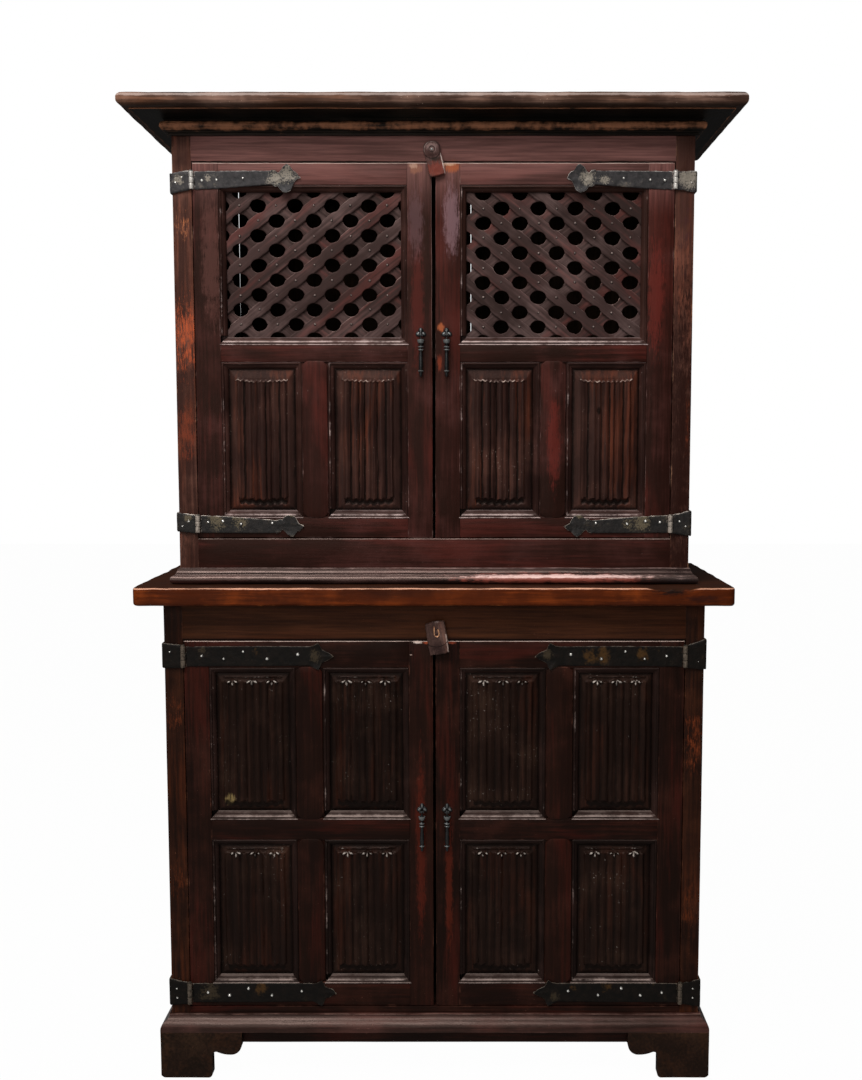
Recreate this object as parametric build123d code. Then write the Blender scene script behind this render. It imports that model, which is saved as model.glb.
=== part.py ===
from build123d import *
import os
from math import atan2, ceil, cos, degrees, hypot, radians, sin

# Two-stage trastero cabinet in framed and panelled wood with wrought iron hinges.
# Millimetres, +Z up, front towards -Y. The origin is on the floor, under the
# middle of the top board, which is the widest and deepest piece.

# ---------------------------------------------------------------- driving sizes

# Case
upper_case_width = 1044.0
upper_case_depth = 394.0
lower_case_side_step = 32.0
lower_case_front_step = 18.0

# Heights, from the floor up
apron_clearance = 67.0
lower_bottom_rail_height = 79.0
lower_door_height = 777.0
lower_top_rail_height = 76.0
slab_thickness = 38.0
upper_bottom_rail_height = 93.0
upper_door_height = 751.0
upper_top_rail_height = 88.0
top_board_thickness = 27.0

# Frame members of the case
post_width = 38.0
post_depth = 56.0
front_rail_thickness = 30.0
side_rail_thickness = 26.0
side_top_rail_height = 90.0
side_middle_rail_height = 60.0
side_bottom_rail_height = 95.0
tenon_length = 26.0
tenon_thickness = 10.0
tenon_shoulder = 8.0
tenon_inset = 8.0
tenon_clearance = 0.2
groove_depth = 9.0
panel_play = 1.0
side_panel_field_border = 34.0
side_panel_field_rise = 5.0

# Boards
back_board_thickness = 16.0
back_rabbet = 18.0
back_filler_width = 31.0
back_slit = 4.0
back_board_count = 4
back_board_gap = 0.6
shelf_thickness = 18.0
shelf_front_setback = 16.0
shelf_board_count = 2
shelf_side_clearance = 2.0
cleat_width = 24.0
cleat_height = 22.0
lower_shelf_rise = 384.0
upper_shelf_rise = 388.0

# Slab, top board and feet
slab_side_overhang = 53.0
slab_front_overhang = 46.0
slab_corner_radius = 14.0
slab_edge_radius = 6.0
cornice_overhang = 86.0
top_board_nose_radius = 12.0
foot_height = 98.0
foot_board_thickness = 21.0
foot_reach = 170.0
leg_width = 108.0
lobe_height = 48.0
lobe_radius = 22.0
leg_corner_radius = 9.0
throat_width = 12.0
throat_rise = 5.0

# Mouldings: projection and height
cornice_moulding_height = 38.0
cornice_torus_projection = 20.0
cornice_torus_height = 25.0
cornice_cove_projection = 66.0
cornice_fillet = 2.0
waist_moulding_height = 33.0
waist_torus_projection = 18.0
waist_torus_height = 19.0
waist_step_projection = 9.0
base_moulding_height = 34.0
base_moulding_foot = 6.0
base_moulding_lip = 4.0

# Doors
door_thickness = 28.0
door_clearance = 2.0
meeting_gap = 4.0
door_groove_inset = 12.0
sticking_width = 13.0
sticking_recess = 1.0
upper_stile_width = 51.0
upper_door_top_rail = 43.0
upper_door_middle_rail = 37.0
upper_door_bottom_rail = 43.0
upper_door_panel_row = 314.0
upper_muntin_width = 54.0
lower_stile_width = 50.0
lower_door_top_rail = 56.0
lower_door_middle_rail = 46.0
lower_door_bottom_rail = 51.0
lower_door_panel_row = 307.0
lower_muntin_width = 57.0

# Linenfold panels
fold_field_border = 17.0
fold_field_foot = 28.0
fold_field_head = 13.0
fold_field_rise = 4.0
fold_field_bevel = 30.0
fold_count = 4
fold_radius = 8.0
fold_rise = 8.5
fold_header_height = 13.0
fold_header_rise = 8.0

# Lattice
lattice_pitch_x = 74.5
lattice_pitch_z = 59.0
slat_width = 25.0
lattice_hole_radius = 13.6

# Strap hinges
plate_thickness = 2.5
upper_strap_height = 35.0
lower_strap_height = 45.0
upper_strap_length = 216.0
lower_strap_length = 308.0
upper_top_strap_inset = 35.0
upper_bottom_strap_inset = 28.0
lower_top_strap_inset = 32.0
lower_bottom_strap_inset = 28.0
upper_finial_length = 56.0
lower_finial_length = 50.0
leaf_side_length = 48.0
knuckle_radius = 5.0
knuckle_gap = 0.4
knuckle_lift = 0.4
pin_radius = 2.5
pin_clearance = 0.05
pin_head_radius = 4.6
pin_head_height = 2.6

# Finials and bodies of the straps: shares of the finial's length and of half the strap's height
upper_strap_neck = (1.05, -0.50)
upper_finial = (
    (0.06, 1.16), (0.16, 0.86), (0.28, 1.14), (0.48, 1.85), (0.62, 1.45), (0.68, 1.02), (0.82, 0.88),
    (1.0, 0.26), (0.84, 0.10), (0.78, -0.45), (0.66, -1.02), (0.48, -1.30), (0.32, -1.20), (0.20, -0.80),
    (0.08, -0.68),
)
turned_finial_share = 0.8
lower_strap_neck = (0.93, -0.93)
lower_finial = (
    (0.18, 1.02), (0.38, 1.26), (0.46, 0.98), (0.52, 0.62), (0.68, 0.46), (0.84, 0.30), (1.0, 0.0),
    (0.84, -0.30), (0.68, -0.46), (0.52, -0.62), (0.46, -0.98), (0.38, -1.26), (0.18, -1.06),
)

# Nail places: along the strap or leaf from the pin, and up from its middle
upper_top_strap_nails = ((21.0, 0.0), (50.0, 1.0), (103.0, 4.0))
upper_bottom_strap_nails = ((21.0, 4.0), (51.0, 6.0), (88.0, 0.0), (152.0, 2.0))
lower_strap_nails = ((38.0, 1.0), (83.0, -5.0), (123.0, 10.0), (172.0, -5.0), (235.0, 4.0))
upper_leaf_nails = ((32.0, -4.0), (19.0, 6.0))
lower_leaf_nails = ((27.0, 10.0), (27.0, -10.0))

# Nails
nail_shank_radius = 1.7
nail_shank_length = 13.0
nail_head_radius = 3.6
nail_head_height = 2.4
nail_crown = 0.5
nail_clearance = 0.1

# Drop pulls
pull_setback = 24.0
upper_pull_rise = 410.0
lower_pull_rise = 420.0
pull_plate_thickness = 2.0
pull_petal_radius = 6.0
pull_petal_offset = 5.5
pull_pin_radius = 1.6
pull_pin_standoff = 10.0
pull_eye_radius = 4.2
pull_eye_width = 4.0
pull_cheek_thickness = 2.4
pull_side_clearance = 0.4
drop_length = 84.0
drop_cup_radius = 6.4
drop_shaft_radius = 3.0
drop_swell_radius = 4.6

# Turn buttons
button_clearance = 0.4
button_nail_radius = 2.6
button_nail_head_radius = 6.5
button_nail_depth = 21.0
upper_button_x = -3.0
upper_button_rise = 22.0
upper_button_width = 34.0
upper_button_tail = 52.0
upper_button_thickness = 13.0
upper_button_lean = 13.0
lower_button_x = 4.0
lower_button_rise = 19.0
lower_button_width = 44.0
lower_button_tail = 54.0
lower_button_thickness = 15.0
lower_button_lean = 9.0

# ---------------------------------------------------------------- worked-out places

case_back = (upper_case_depth + cornice_overhang) / 2
upper_front = case_back - upper_case_depth
lower_front = upper_front - lower_case_front_step
upper_half = upper_case_width / 2
lower_half = upper_half + lower_case_side_step

lower_bottom_rail_top = apron_clearance + lower_bottom_rail_height
lower_door_bottom = lower_bottom_rail_top + door_clearance
lower_top_rail_bottom = lower_door_bottom + lower_door_height + door_clearance
slab_bottom = lower_top_rail_bottom + lower_top_rail_height
slab_top = slab_bottom + slab_thickness
upper_bottom_rail_top = slab_top + upper_bottom_rail_height
upper_door_bottom = upper_bottom_rail_top + door_clearance
upper_top_rail_bottom = upper_door_bottom + upper_door_height + door_clearance
top_board_bottom = upper_top_rail_bottom + upper_top_rail_height
top_board_top = top_board_bottom + top_board_thickness

lower_door_top = lower_door_bottom + lower_door_height
upper_door_top = upper_door_bottom + upper_door_height
lower_strap_centres = (lower_door_bottom + lower_bottom_strap_inset, lower_door_top - lower_top_strap_inset)
upper_strap_centres = (upper_door_bottom + upper_bottom_strap_inset, upper_door_top - upper_top_strap_inset)
lower_shelf_height = lower_bottom_rail_top + lower_shelf_rise
upper_shelf_height = upper_bottom_rail_top + upper_shelf_rise
lower_pull_height = lower_door_bottom + lower_pull_rise
upper_pull_height = upper_door_bottom + upper_pull_rise
lower_button_height = lower_top_rail_bottom + lower_button_rise
upper_button_height = upper_top_rail_bottom + upper_button_rise

back_boards_front = case_back - back_board_thickness
knuckle_standoff = knuckle_radius + knuckle_lift


# ---------------------------------------------------------------- helpers

def block(x, y, z):
    """Box between the (low, high) pairs x, y and z."""
    centre = Pos(sum(x) / 2, sum(y) / 2, sum(z) / 2)
    return centre * Box(x[1] - x[0], y[1] - y[0], z[1] - z[0])


def grown(pair, margin):
    """The (low, high) pair moved apart by a margin at each end."""
    return (pair[0] - margin, pair[1] + margin)


def mirrored(solids):
    """The same solids on the other side of the cabinet."""
    return [mirror(solid, about=Plane.YZ) for solid in solids]


def in_front(x, y, z):
    """Frame at a point whose local Z points out of the cabinet's front."""
    return Plane(origin=(x, y, z), x_dir=(1, 0, 0), z_dir=(0, -1, 0))


def save(name, solids):
    """Write one sub-part as a STEP file that holds its separate solids."""
    shapes = []
    for item in solids:
        shapes.extend(item.solids())
    body = shapes[0] if len(shapes) == 1 else Compound(children=shapes)
    body.label = name
    export_step(body, os.path.join("parts", name + ".step"))


def moulding_strip(start, along, outward, length, section, reach, growth):
    """A straight moulding with mitred or square ends.

    The section is drawn with x outwards from the carrying face and y along
    the cross product of along and outward. growth gives, for each end, how
    much longer the strip gets with each millimetre outwards.
    """
    along = Vector(*along)
    outward = Vector(*outward)
    rise = along.cross(outward)
    run_up = max(0.0, growth[0]) * reach
    run_out = max(0.0, growth[1]) * reach
    profile_plane = Plane(origin=Vector(*start) - along * run_up, x_dir=outward, z_dir=along)
    bar = extrude(profile_plane * section, amount=length + run_up + run_out)
    outline = Polygon(
        (0, 0), (length, 0),
        (length + growth[1] * reach, reach), (-growth[0] * reach, reach),
        align=None,
    )
    footprint = Plane(origin=Vector(*start), x_dir=along, z_dir=rise) * outline
    return bar & extrude(footprint, amount=reach + length, both=True)


def wrap_case(section, reach, half_width, front, base):
    """Front length and two returns of a moulding that wraps a case, mitred at its corners."""
    depth = case_back - front
    front_run = moulding_strip(
        (half_width, front, base), (-1, 0, 0), (0, -1, 0), 2 * half_width, section, reach, (1, 1))
    left_run = moulding_strip(
        (-half_width, front, base), (0, 1, 0), (-1, 0, 0), depth, section, reach, (1, 0))
    right_run = moulding_strip(
        (half_width, case_back, base), (0, -1, 0), (1, 0, 0), depth, section, reach, (0, 1))
    return [front_run, left_run, right_run]


def nail(location, radius=nail_shank_radius, length=nail_shank_length,
         head=nail_head_radius, head_height=nail_head_height):
    """A hand-made nail whose head sits on the location's plane and whose shank goes down."""
    shank = Pos(0, 0, -length / 2) * Cylinder(radius, length)
    dome = Pos(0, 0, head_height / 2) * Cone(head, head * nail_crown, head_height)
    return location * (shank + dome)


def nail_hole(location, depth=nail_shank_length):
    """Cutter for one nail, from just outside the plate to just past the nail's point."""
    outside = 1.0
    past_point = 0.5
    reach = outside + depth + past_point
    centre = (outside - depth - past_point) / 2
    return location * Pos(0, 0, centre) * Cylinder(nail_shank_radius + nail_clearance, reach)


def drill(solid, locations):
    """The solid with a hole for each nail that goes into it."""
    box = solid.bounding_box()
    for location in locations:
        place = location.origin
        inside_x = box.min.X - nail_shank_length < place.X < box.max.X + nail_shank_length
        inside_y = box.min.Y - nail_shank_length < place.Y < box.max.Y + nail_shank_length
        if inside_x and inside_y and box.min.Z < place.Z < box.max.Z:
            solid = solid - nail_hole(location)
    return solid


# ---------------------------------------------------------------- sections of the mouldings

def cornice_section():
    """Torus below and a wide cove above, under the top board."""
    torus_bottom = cornice_fillet
    torus_top = torus_bottom + cornice_torus_height
    neck = cornice_torus_projection / 2
    bulge = (cornice_torus_projection, (torus_bottom + torus_top) / 2)
    cove_foot = (neck + cornice_fillet, torus_top + cornice_fillet)
    cove_head = (cornice_cove_projection, cornice_moulding_height - cornice_fillet)
    out_share = 0.34
    up_share = 0.78
    cove_middle = (
        cove_foot[0] + (cove_head[0] - cove_foot[0]) * out_share,
        cove_foot[1] + (cove_head[1] - cove_foot[1]) * up_share,
    )
    return make_face(
        Polyline((0, 0), (cornice_fillet, 0), (neck, torus_bottom))
        + ThreePointArc((neck, torus_bottom), bulge, (neck, torus_top))
        + Polyline((neck, torus_top), (neck, cove_foot[1]), cove_foot)
        + ThreePointArc(cove_foot, cove_middle, cove_head)
        + Polyline(cove_head, (cornice_cove_projection, cornice_moulding_height),
                   (0, cornice_moulding_height), (0, 0))
    )


def waist_section():
    """Heavy torus that stands on the slab, with a small cove and fillet above it."""
    shoulder = waist_torus_projection * 0.6
    cove_top = (cornice_fillet, waist_moulding_height)
    cove_foot = (waist_step_projection, waist_torus_height + cornice_fillet)
    cove_middle = (
        cove_top[0] + (cove_foot[0] - cove_top[0]) * 0.32,
        cove_foot[1] + (cove_top[1] - cove_foot[1]) * 0.3,
    )
    return make_face(
        Polyline((0, 0), (shoulder, 0))
        + ThreePointArc((shoulder, 0), (waist_torus_projection, waist_torus_height / 2),
                        (shoulder, waist_torus_height))
        + Polyline((shoulder, waist_torus_height), (waist_step_projection, waist_torus_height), cove_foot)
        + ThreePointArc(cove_foot, cove_middle, cove_top)
        + Polyline(cove_top, (0, waist_moulding_height), (0, 0))
    )


def base_section():
    """Wave moulding that flares out over the bracket feet."""
    toe = foot_board_thickness
    wave = base_moulding_height - base_moulding_foot
    middle = ((toe + base_moulding_lip) / 2, base_moulding_foot + wave / 2)
    lower_bulge = (toe * 0.9, base_moulding_foot + wave * 0.3)
    upper_hollow = (base_moulding_lip * 1.3, base_moulding_foot + wave * 0.72)
    lip_bottom = (base_moulding_lip, base_moulding_height - cornice_fillet)
    return make_face(
        Polyline((0, 0), (toe, 0), (toe, base_moulding_foot))
        + ThreePointArc((toe, base_moulding_foot), lower_bulge, middle)
        + ThreePointArc(middle, upper_hollow, lip_bottom)
        + Polyline(lip_bottom, (base_moulding_lip, base_moulding_height), (0, base_moulding_height), (0, 0))
    )


def sticking_section():
    """Quarter round and fillet planted inside a door's openings."""
    depth = door_groove_inset - sticking_recess
    bead = 2.0
    bulge = 0.74
    return make_face(
        Polyline((0, 0), (sticking_width, 0), (sticking_width, bead))
        + ThreePointArc((sticking_width, bead), (sticking_width * bulge, depth * bulge), (bead, depth - bead))
        + Polyline((bead, depth - bead), (bead, depth), (0, depth), (0, 0))
    )


# ---------------------------------------------------------------- case

def front_rail(half_width, front, bottom, top):
    """Front rail with a tenon at each end, and the two mortise cutters for the posts."""
    inner = half_width - post_width
    y = (front, front + front_rail_thickness)
    tenon_y = (front + tenon_inset, front + tenon_inset + tenon_thickness)
    tenon_z = (bottom + tenon_shoulder, top - tenon_shoulder)
    tenon_x = (-inner - tenon_length, inner + tenon_length)
    rail = block((-inner, inner), y, (bottom, top)) + block(tenon_x, tenon_y, tenon_z)
    mortise = block(
        grown(tenon_x, tenon_clearance), grown(tenon_y, tenon_clearance), grown(tenon_z, tenon_clearance))
    return rail, mortise


def side_frame(half_width, front, bottom, top, rail_heights):
    """Left side: rails and panels between the posts, and the cutter for the posts."""
    front_y = front + post_depth
    rear_y = case_back - post_depth
    outer = -half_width
    rail_x = (outer, outer + side_rail_thickness)
    groove_x = (outer + tenon_inset, outer + tenon_inset + tenon_thickness)
    cutters = block(groove_x, (front_y - groove_depth, rear_y + groove_depth), (bottom, top))
    rails = []
    for low, high in rail_heights:
        tenon_y = (front_y - tenon_length, rear_y + tenon_length)
        tenon_z = (low + tenon_shoulder, high - tenon_shoulder)
        rails.append(block(rail_x, (front_y, rear_y), (low, high)) + block(groove_x, tenon_y, tenon_z))
        cutters += block(groove_x, grown(tenon_y, tenon_clearance), grown(tenon_z, tenon_clearance))
    panels = []
    for below, above in zip(rail_heights, rail_heights[1:]):
        opening_y = (front_y, rear_y)
        opening_z = (below[1], above[0])
        panel_y = grown(opening_y, groove_depth - panel_play)
        panel_z = grown(opening_z, groove_depth - panel_play)
        groove = block(groove_x, grown(opening_y, groove_depth), grown(opening_z, groove_depth))
        rails = [rail - groove for rail in rails]
        panel = block(groove_x, panel_y, panel_z)
        field_x = (groove_x[0] - side_panel_field_rise, groove_x[0])
        field = block(field_x, grown(opening_y, -side_panel_field_border),
                      grown(opening_z, -side_panel_field_border))
        outer_face = field.faces().sort_by(Axis.X)[0]
        panels.append(panel + chamfer(outer_face.edges(), side_panel_field_rise * 0.8))
    return rails, panels, cutters


def case_posts(half_width, front, bottom, top, cutters, nails):
    """Two front and two rear posts, mortised for the rails and drilled for the hinge nails."""
    left_x = (-half_width, -half_width + post_width)
    front_post = block(left_x, (front, front + post_depth), (bottom, top))
    rear_post = block(left_x, (case_back - post_depth, case_back), (bottom, top))
    rabbet_x = (left_x[1] - back_rabbet, left_x[1])
    rear_post -= block(rabbet_x, (back_boards_front, case_back), (bottom, top))
    for cutter in cutters:
        front_post -= cutter
        rear_post -= cutter
    return [drill(front_post, nails), rear_post]


def back_boards(half_width, bottom, top):
    """Vertical boards in the rabbets of the rear posts, with one open joint at the left."""
    left = -half_width + post_width - back_rabbet
    right = -left
    y = (back_boards_front, case_back)
    boards = [block((left, left + back_filler_width), y, (bottom, top))]
    start = left + back_filler_width + back_slit
    pitch = (right - start + back_board_gap) / back_board_count
    for index in range(back_board_count):
        x = start + index * pitch
        boards.append(block((x, x + pitch - back_board_gap), y, (bottom, top)))
    return boards


def shelf_boards(half_width, front_edge, top):
    """Boards of a shelf or floor, front to back, between the posts."""
    half = half_width - post_width - shelf_side_clearance
    depth = (back_boards_front - front_edge) / shelf_board_count
    boards = []
    for index in range(shelf_board_count):
        y = front_edge + index * depth
        boards.append(block((-half, half), (y, y + depth), (top - shelf_thickness, top)))
    return boards


def shelf_cleats(half_width, front, top):
    """Two cleats on the side rails' inner faces, which carry a shelf or floor."""
    outer = -half_width + side_rail_thickness
    y = (front + post_depth, case_back - post_depth)
    z = (top - shelf_thickness - cleat_height, top - shelf_thickness)
    cleat = block((outer, outer + cleat_width), y, z)
    return [cleat] + mirrored([cleat])


def slab():
    """Thick board between the two cases, with rounded corners and eased edges."""
    half = lower_half + slab_side_overhang
    board = block((-half, half), (lower_front - slab_front_overhang, case_back), (slab_bottom, slab_top))
    corners = board.edges().filter_by(Axis.Z).sort_by(Axis.Y)[:2]
    board = fillet(corners, slab_corner_radius)
    rim = [edge for edge in board.edges()
           if abs(edge.tangent_at(0.5).Z) < 0.5 and edge.center().Y < case_back - slab_edge_radius]
    return fillet(rim, slab_edge_radius)


def top_board():
    """Top board with a rounded nose on its front and ends."""
    half = upper_half + cornice_overhang
    board = block((-half, half), (upper_front - cornice_overhang, case_back), (top_board_bottom, top_board_top))
    rim = [edge for edge in board.edges()
           if abs(edge.tangent_at(0.5).Z) < 0.5 and edge.center().Y < case_back - top_board_nose_radius]
    return fillet(rim, top_board_nose_radius)


def foot_outline():
    """Bracket foot seen square on: leg at the corner, then a lobe that hangs from the moulding."""
    lobe_bottom = foot_height - lobe_height
    throat = lobe_bottom + throat_rise
    neck = leg_width + throat_width
    lobe_middle = foot_reach - lobe_radius
    bulge = lobe_radius * cos(radians(45))
    corner = leg_corner_radius
    bend = corner * 0.3
    return make_face(
        Polyline((0, corner), (0, foot_height), (foot_reach, foot_height),
                 (foot_reach, lobe_bottom + lobe_radius))
        + ThreePointArc((foot_reach, lobe_bottom + lobe_radius),
                        (lobe_middle + bulge, lobe_bottom + lobe_radius - bulge),
                        (lobe_middle, lobe_bottom))
        + ThreePointArc((lobe_middle, lobe_bottom), ((lobe_middle + neck) / 2, lobe_bottom + throat_rise * 0.2),
                        (neck, throat))
        + ThreePointArc((neck, throat), (neck - throat_width * 0.6, throat + throat_rise * 0.1),
                        (leg_width, lobe_bottom))
        + Line((leg_width, lobe_bottom), (leg_width, corner))
        + ThreePointArc((leg_width, corner), (leg_width - bend, bend), (leg_width - corner, 0))
        + Line((leg_width - corner, 0), (corner, 0))
        + ThreePointArc((corner, 0), (bend, bend), (0, corner))
    )


def bracket_feet():
    """Front and side leaves at the front corners, and side leaves at the rear corners."""
    outer_x = -lower_half - foot_board_thickness
    outer_y = lower_front - foot_board_thickness
    front_plane = Plane(origin=(outer_x, outer_y, 0), x_dir=(1, 0, 0), z_dir=(0, -1, 0))
    front_leaf = extrude(front_plane * foot_outline(), amount=-foot_board_thickness)
    side_plane = Plane(origin=(outer_x, outer_y, 0), x_dir=(0, 1, 0), z_dir=(1, 0, 0))
    side_leaf = extrude(side_plane * foot_outline(), amount=foot_board_thickness) - front_leaf
    rear_plane = Plane(origin=(outer_x, case_back, 0), x_dir=(0, -1, 0), z_dir=(-1, 0, 0))
    rear_leaf = extrude(rear_plane * foot_outline(), amount=-foot_board_thickness)
    leaves = [front_leaf, side_leaf, rear_leaf]
    return leaves + mirrored(leaves)


# ---------------------------------------------------------------- hinges

class Hinge:
    """One strap hinge on the left side: its pin, leaf, strap and nails."""

    def __init__(self, half_width, front, centre, height, length, finial, strap_nails, leaf_nails):
        self.half_width = half_width
        self.front = front
        self.centre = centre
        self.height = height
        self.length = length
        self.finial_length, self.neck, self.finial = finial
        self.strap_nails = strap_nails
        self.leaf_nails = leaf_nails
        self.pin_x = -(half_width - post_width) + door_clearance / 2
        self.pin_y = front - knuckle_standoff
        self.third = height / 3
        self.plate_y = (front - plate_thickness, front)
        self.low = centre - height / 2
        self.high = centre + height / 2

    def barrel(self, low, high):
        """Cylinder of the knuckle between two heights."""
        middle = (low + high) / 2
        return Pos(self.pin_x, self.pin_y, middle) * Cylinder(knuckle_radius, high - low)

    def bore(self):
        """Cutter for the pin's hole."""
        return Pos(self.pin_x, self.pin_y, self.centre) * Cylinder(pin_radius + pin_clearance, 2 * self.height)

    def link(self, low, high, side):
        """Web that joins a stretch of barrel to the plate on one side of the pin."""
        reach = knuckle_radius + 2 * knuckle_gap
        x = sorted((self.pin_x, self.pin_x + side * reach))
        return block(x, (self.pin_y, self.front), (low, high)) & (
            self.barrel(low, high) + block(x, self.plate_y, (low, high)))

    def nails_on_post(self):
        """Nail places on the post's front and on its side."""
        side_x = -self.half_width - plate_thickness
        front_y = self.plate_y[0]
        places = [in_front(self.pin_x - along, front_y, self.centre + up) for along, up in self.leaf_nails]
        for back in (0.38, 0.8):
            origin = (side_x, self.front + leaf_side_length * back, self.centre)
            places.append(Plane(origin=origin, x_dir=(0, 1, 0), z_dir=(-1, 0, 0)))
        return places

    def nails_on_door(self):
        """Nail places along the strap."""
        front_y = self.plate_y[0]
        return [in_front(self.pin_x + along, front_y, self.centre + up) for along, up in self.strap_nails]

    def leaf(self):
        """Post leaf: plate on the post's front that turns the corner onto its side."""
        gap = knuckle_radius + 2 * knuckle_gap
        outer = -self.half_width - plate_thickness
        z = (self.low, self.high)
        plate = block((outer, self.pin_x - gap), self.plate_y, z)
        plate += block((outer, -self.half_width), (self.plate_y[0], self.front + leaf_side_length), z)
        for low, high in ((self.low, self.low + self.third), (self.high - self.third, self.high)):
            plate += self.barrel(low, high) + self.link(low, high, -1)
        return drill(plate - self.bore(), self.nails_on_post())

    def strap_outline(self):
        """Tapered strap that ends in a barbed and lobed finial."""
        start = knuckle_radius + 2 * knuckle_gap
        half = self.height / 2
        neck_x = self.length - self.finial_length
        points = [(start, half), (neck_x, half * self.neck[0])]
        points += [(neck_x + self.finial_length * along, half * up) for along, up in self.finial]
        points += [(neck_x, half * self.neck[1]), (start, -half)]
        return make_face(Polyline(*points, close=True))

    def strap(self):
        """Door strap with its part of the knuckle."""
        low = self.low + self.third + knuckle_gap
        high = self.high - self.third - knuckle_gap
        plane = in_front(self.pin_x, self.front, self.centre)
        plate = extrude(plane * self.strap_outline(), amount=plate_thickness)
        plate += self.barrel(low, high) + self.link(low, high, 1)
        return drill(plate - self.bore(), self.nails_on_door())

    def pin(self):
        """Pin with a peened head that rests on the leaf's upper knuckle."""
        shank = Pos(self.pin_x, self.pin_y, self.centre) * Cylinder(pin_radius, self.height)
        head = Pos(self.pin_x, self.pin_y, self.high + pin_head_height / 2)
        return shank + head * Cylinder(pin_head_radius, pin_head_height)


# ---------------------------------------------------------------- doors

class Door:
    """One left-hand door; the right-hand door is its mirror image."""

    def __init__(self, half_width, front, bottom, height, stile, rails, muntin, panel_row, muntin_rows):
        self.front = front
        self.bottom = bottom
        self.top = bottom + height
        self.outer = -(half_width - post_width - door_clearance)
        self.meeting = -meeting_gap / 2
        self.stile = stile
        self.muntin = muntin
        bottom_rail, middle_rail, top_rail = rails
        row_top = bottom + bottom_rail + panel_row
        self.rail_heights = [
            (bottom, bottom + bottom_rail),
            (row_top, row_top + middle_rail),
            (self.top - top_rail, self.top),
        ]
        self.rows = [(low[1], high[0]) for low, high in zip(self.rail_heights, self.rail_heights[1:])]
        self.muntin_rows = muntin_rows
        self.inner = (self.outer + stile, self.meeting - stile)
        self.y = (front, front + door_thickness)
        self.groove_y = (front + door_groove_inset, front + door_groove_inset + tenon_thickness)

    def columns(self, row):
        """The (low, high) widths of the openings in one row."""
        if row not in self.muntin_rows:
            return [self.inner]
        middle = sum(self.inner) / 2
        half = self.muntin / 2
        return [(self.inner[0], middle - half), (middle + half, self.inner[1])]

    def openings(self):
        """Every opening as its row, width and height."""
        return [(row, x, z) for row, z in enumerate(self.rows) for x in self.columns(row)]

    def groove(self):
        """Cutter for the grooves round every opening."""
        cutter = None
        for _, x, z in self.openings():
            hollow = block(grown(x, groove_depth), self.groove_y, grown(z, groove_depth))
            cutter = hollow if cutter is None else cutter + hollow
        return cutter

    def frame(self, nails):
        """Stiles and rails with muntins, mortised, tenoned, grooved and drilled."""
        groove = self.groove()
        z = (self.bottom, self.top)
        stiles = [
            block((self.outer, self.inner[0]), self.y, z),
            block((self.inner[1], self.meeting), self.y, z),
        ]
        rails = []
        for low, high in self.rail_heights:
            tenon = block(grown(self.inner, tenon_length), self.groove_y,
                          (low + tenon_shoulder, high - tenon_shoulder))
            mortise = block(grown(self.inner, tenon_length + tenon_clearance), self.groove_y,
                            (low + tenon_shoulder - tenon_clearance, high - tenon_shoulder + tenon_clearance))
            board = block(self.inner, self.y, (low, high))
            rails.append((board - groove) + tenon)
            stiles = [stile - mortise for stile in stiles]
        stiles = [drill(stile - groove, nails) for stile in stiles]
        middle = sum(self.inner) / 2
        for row in self.muntin_rows:
            muntin_x = (middle - self.muntin / 2, middle + self.muntin / 2)
            tongue_x = grown(muntin_x, -groove_depth)
            muntin = block(muntin_x, self.y, self.rows[row]) - groove
            rails.append(muntin + block(tongue_x, self.groove_y, grown(self.rows[row], groove_depth)))
        for index, rail in enumerate(rails[:3]):
            for muntin in rails[3:]:
                rail -= muntin
            rails[index] = drill(rail, nails)
        return stiles, rails

    def stickings(self):
        """Mitred mouldings round each opening, bedded against the panel or lattice."""
        section = sticking_section()
        base_y = self.groove_y[0]
        strips = []
        for _, x, z in self.openings():
            width = x[1] - x[0]
            height = z[1] - z[0]
            sides = [
                ((x[0], base_y, z[0]), (1, 0, 0), (0, 0, 1), width),
                ((x[1], base_y, z[0]), (0, 0, 1), (-1, 0, 0), height),
                ((x[1], base_y, z[1]), (-1, 0, 0), (0, 0, -1), width),
                ((x[0], base_y, z[1]), (0, 0, -1), (1, 0, 0), height),
            ]
            for start, along, inward, length in sides:
                strips.append(moulding_strip(start, along, inward, length, section, sticking_width, (-1, -1)))
        return strips

    def panels(self):
        """Linenfold panels, one for each muntined opening."""
        openings = [(x, z) for row, x, z in self.openings() if row in self.muntin_rows]
        return [linenfold_panel(x, z, self.groove_y) for x, z in openings]

    def lattice(self):
        """Two crossed layers of scalloped slats in the openings without a muntin."""
        slats = []
        middle_y = sum(self.groove_y) / 2
        for row, x, z in self.openings():
            if row in self.muntin_rows:
                continue
            slats += slat_layer(x, z, (self.groove_y[0], middle_y), 1)
            slats += slat_layer(x, z, (middle_y, self.groove_y[1]), -1)
        return slats


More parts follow.
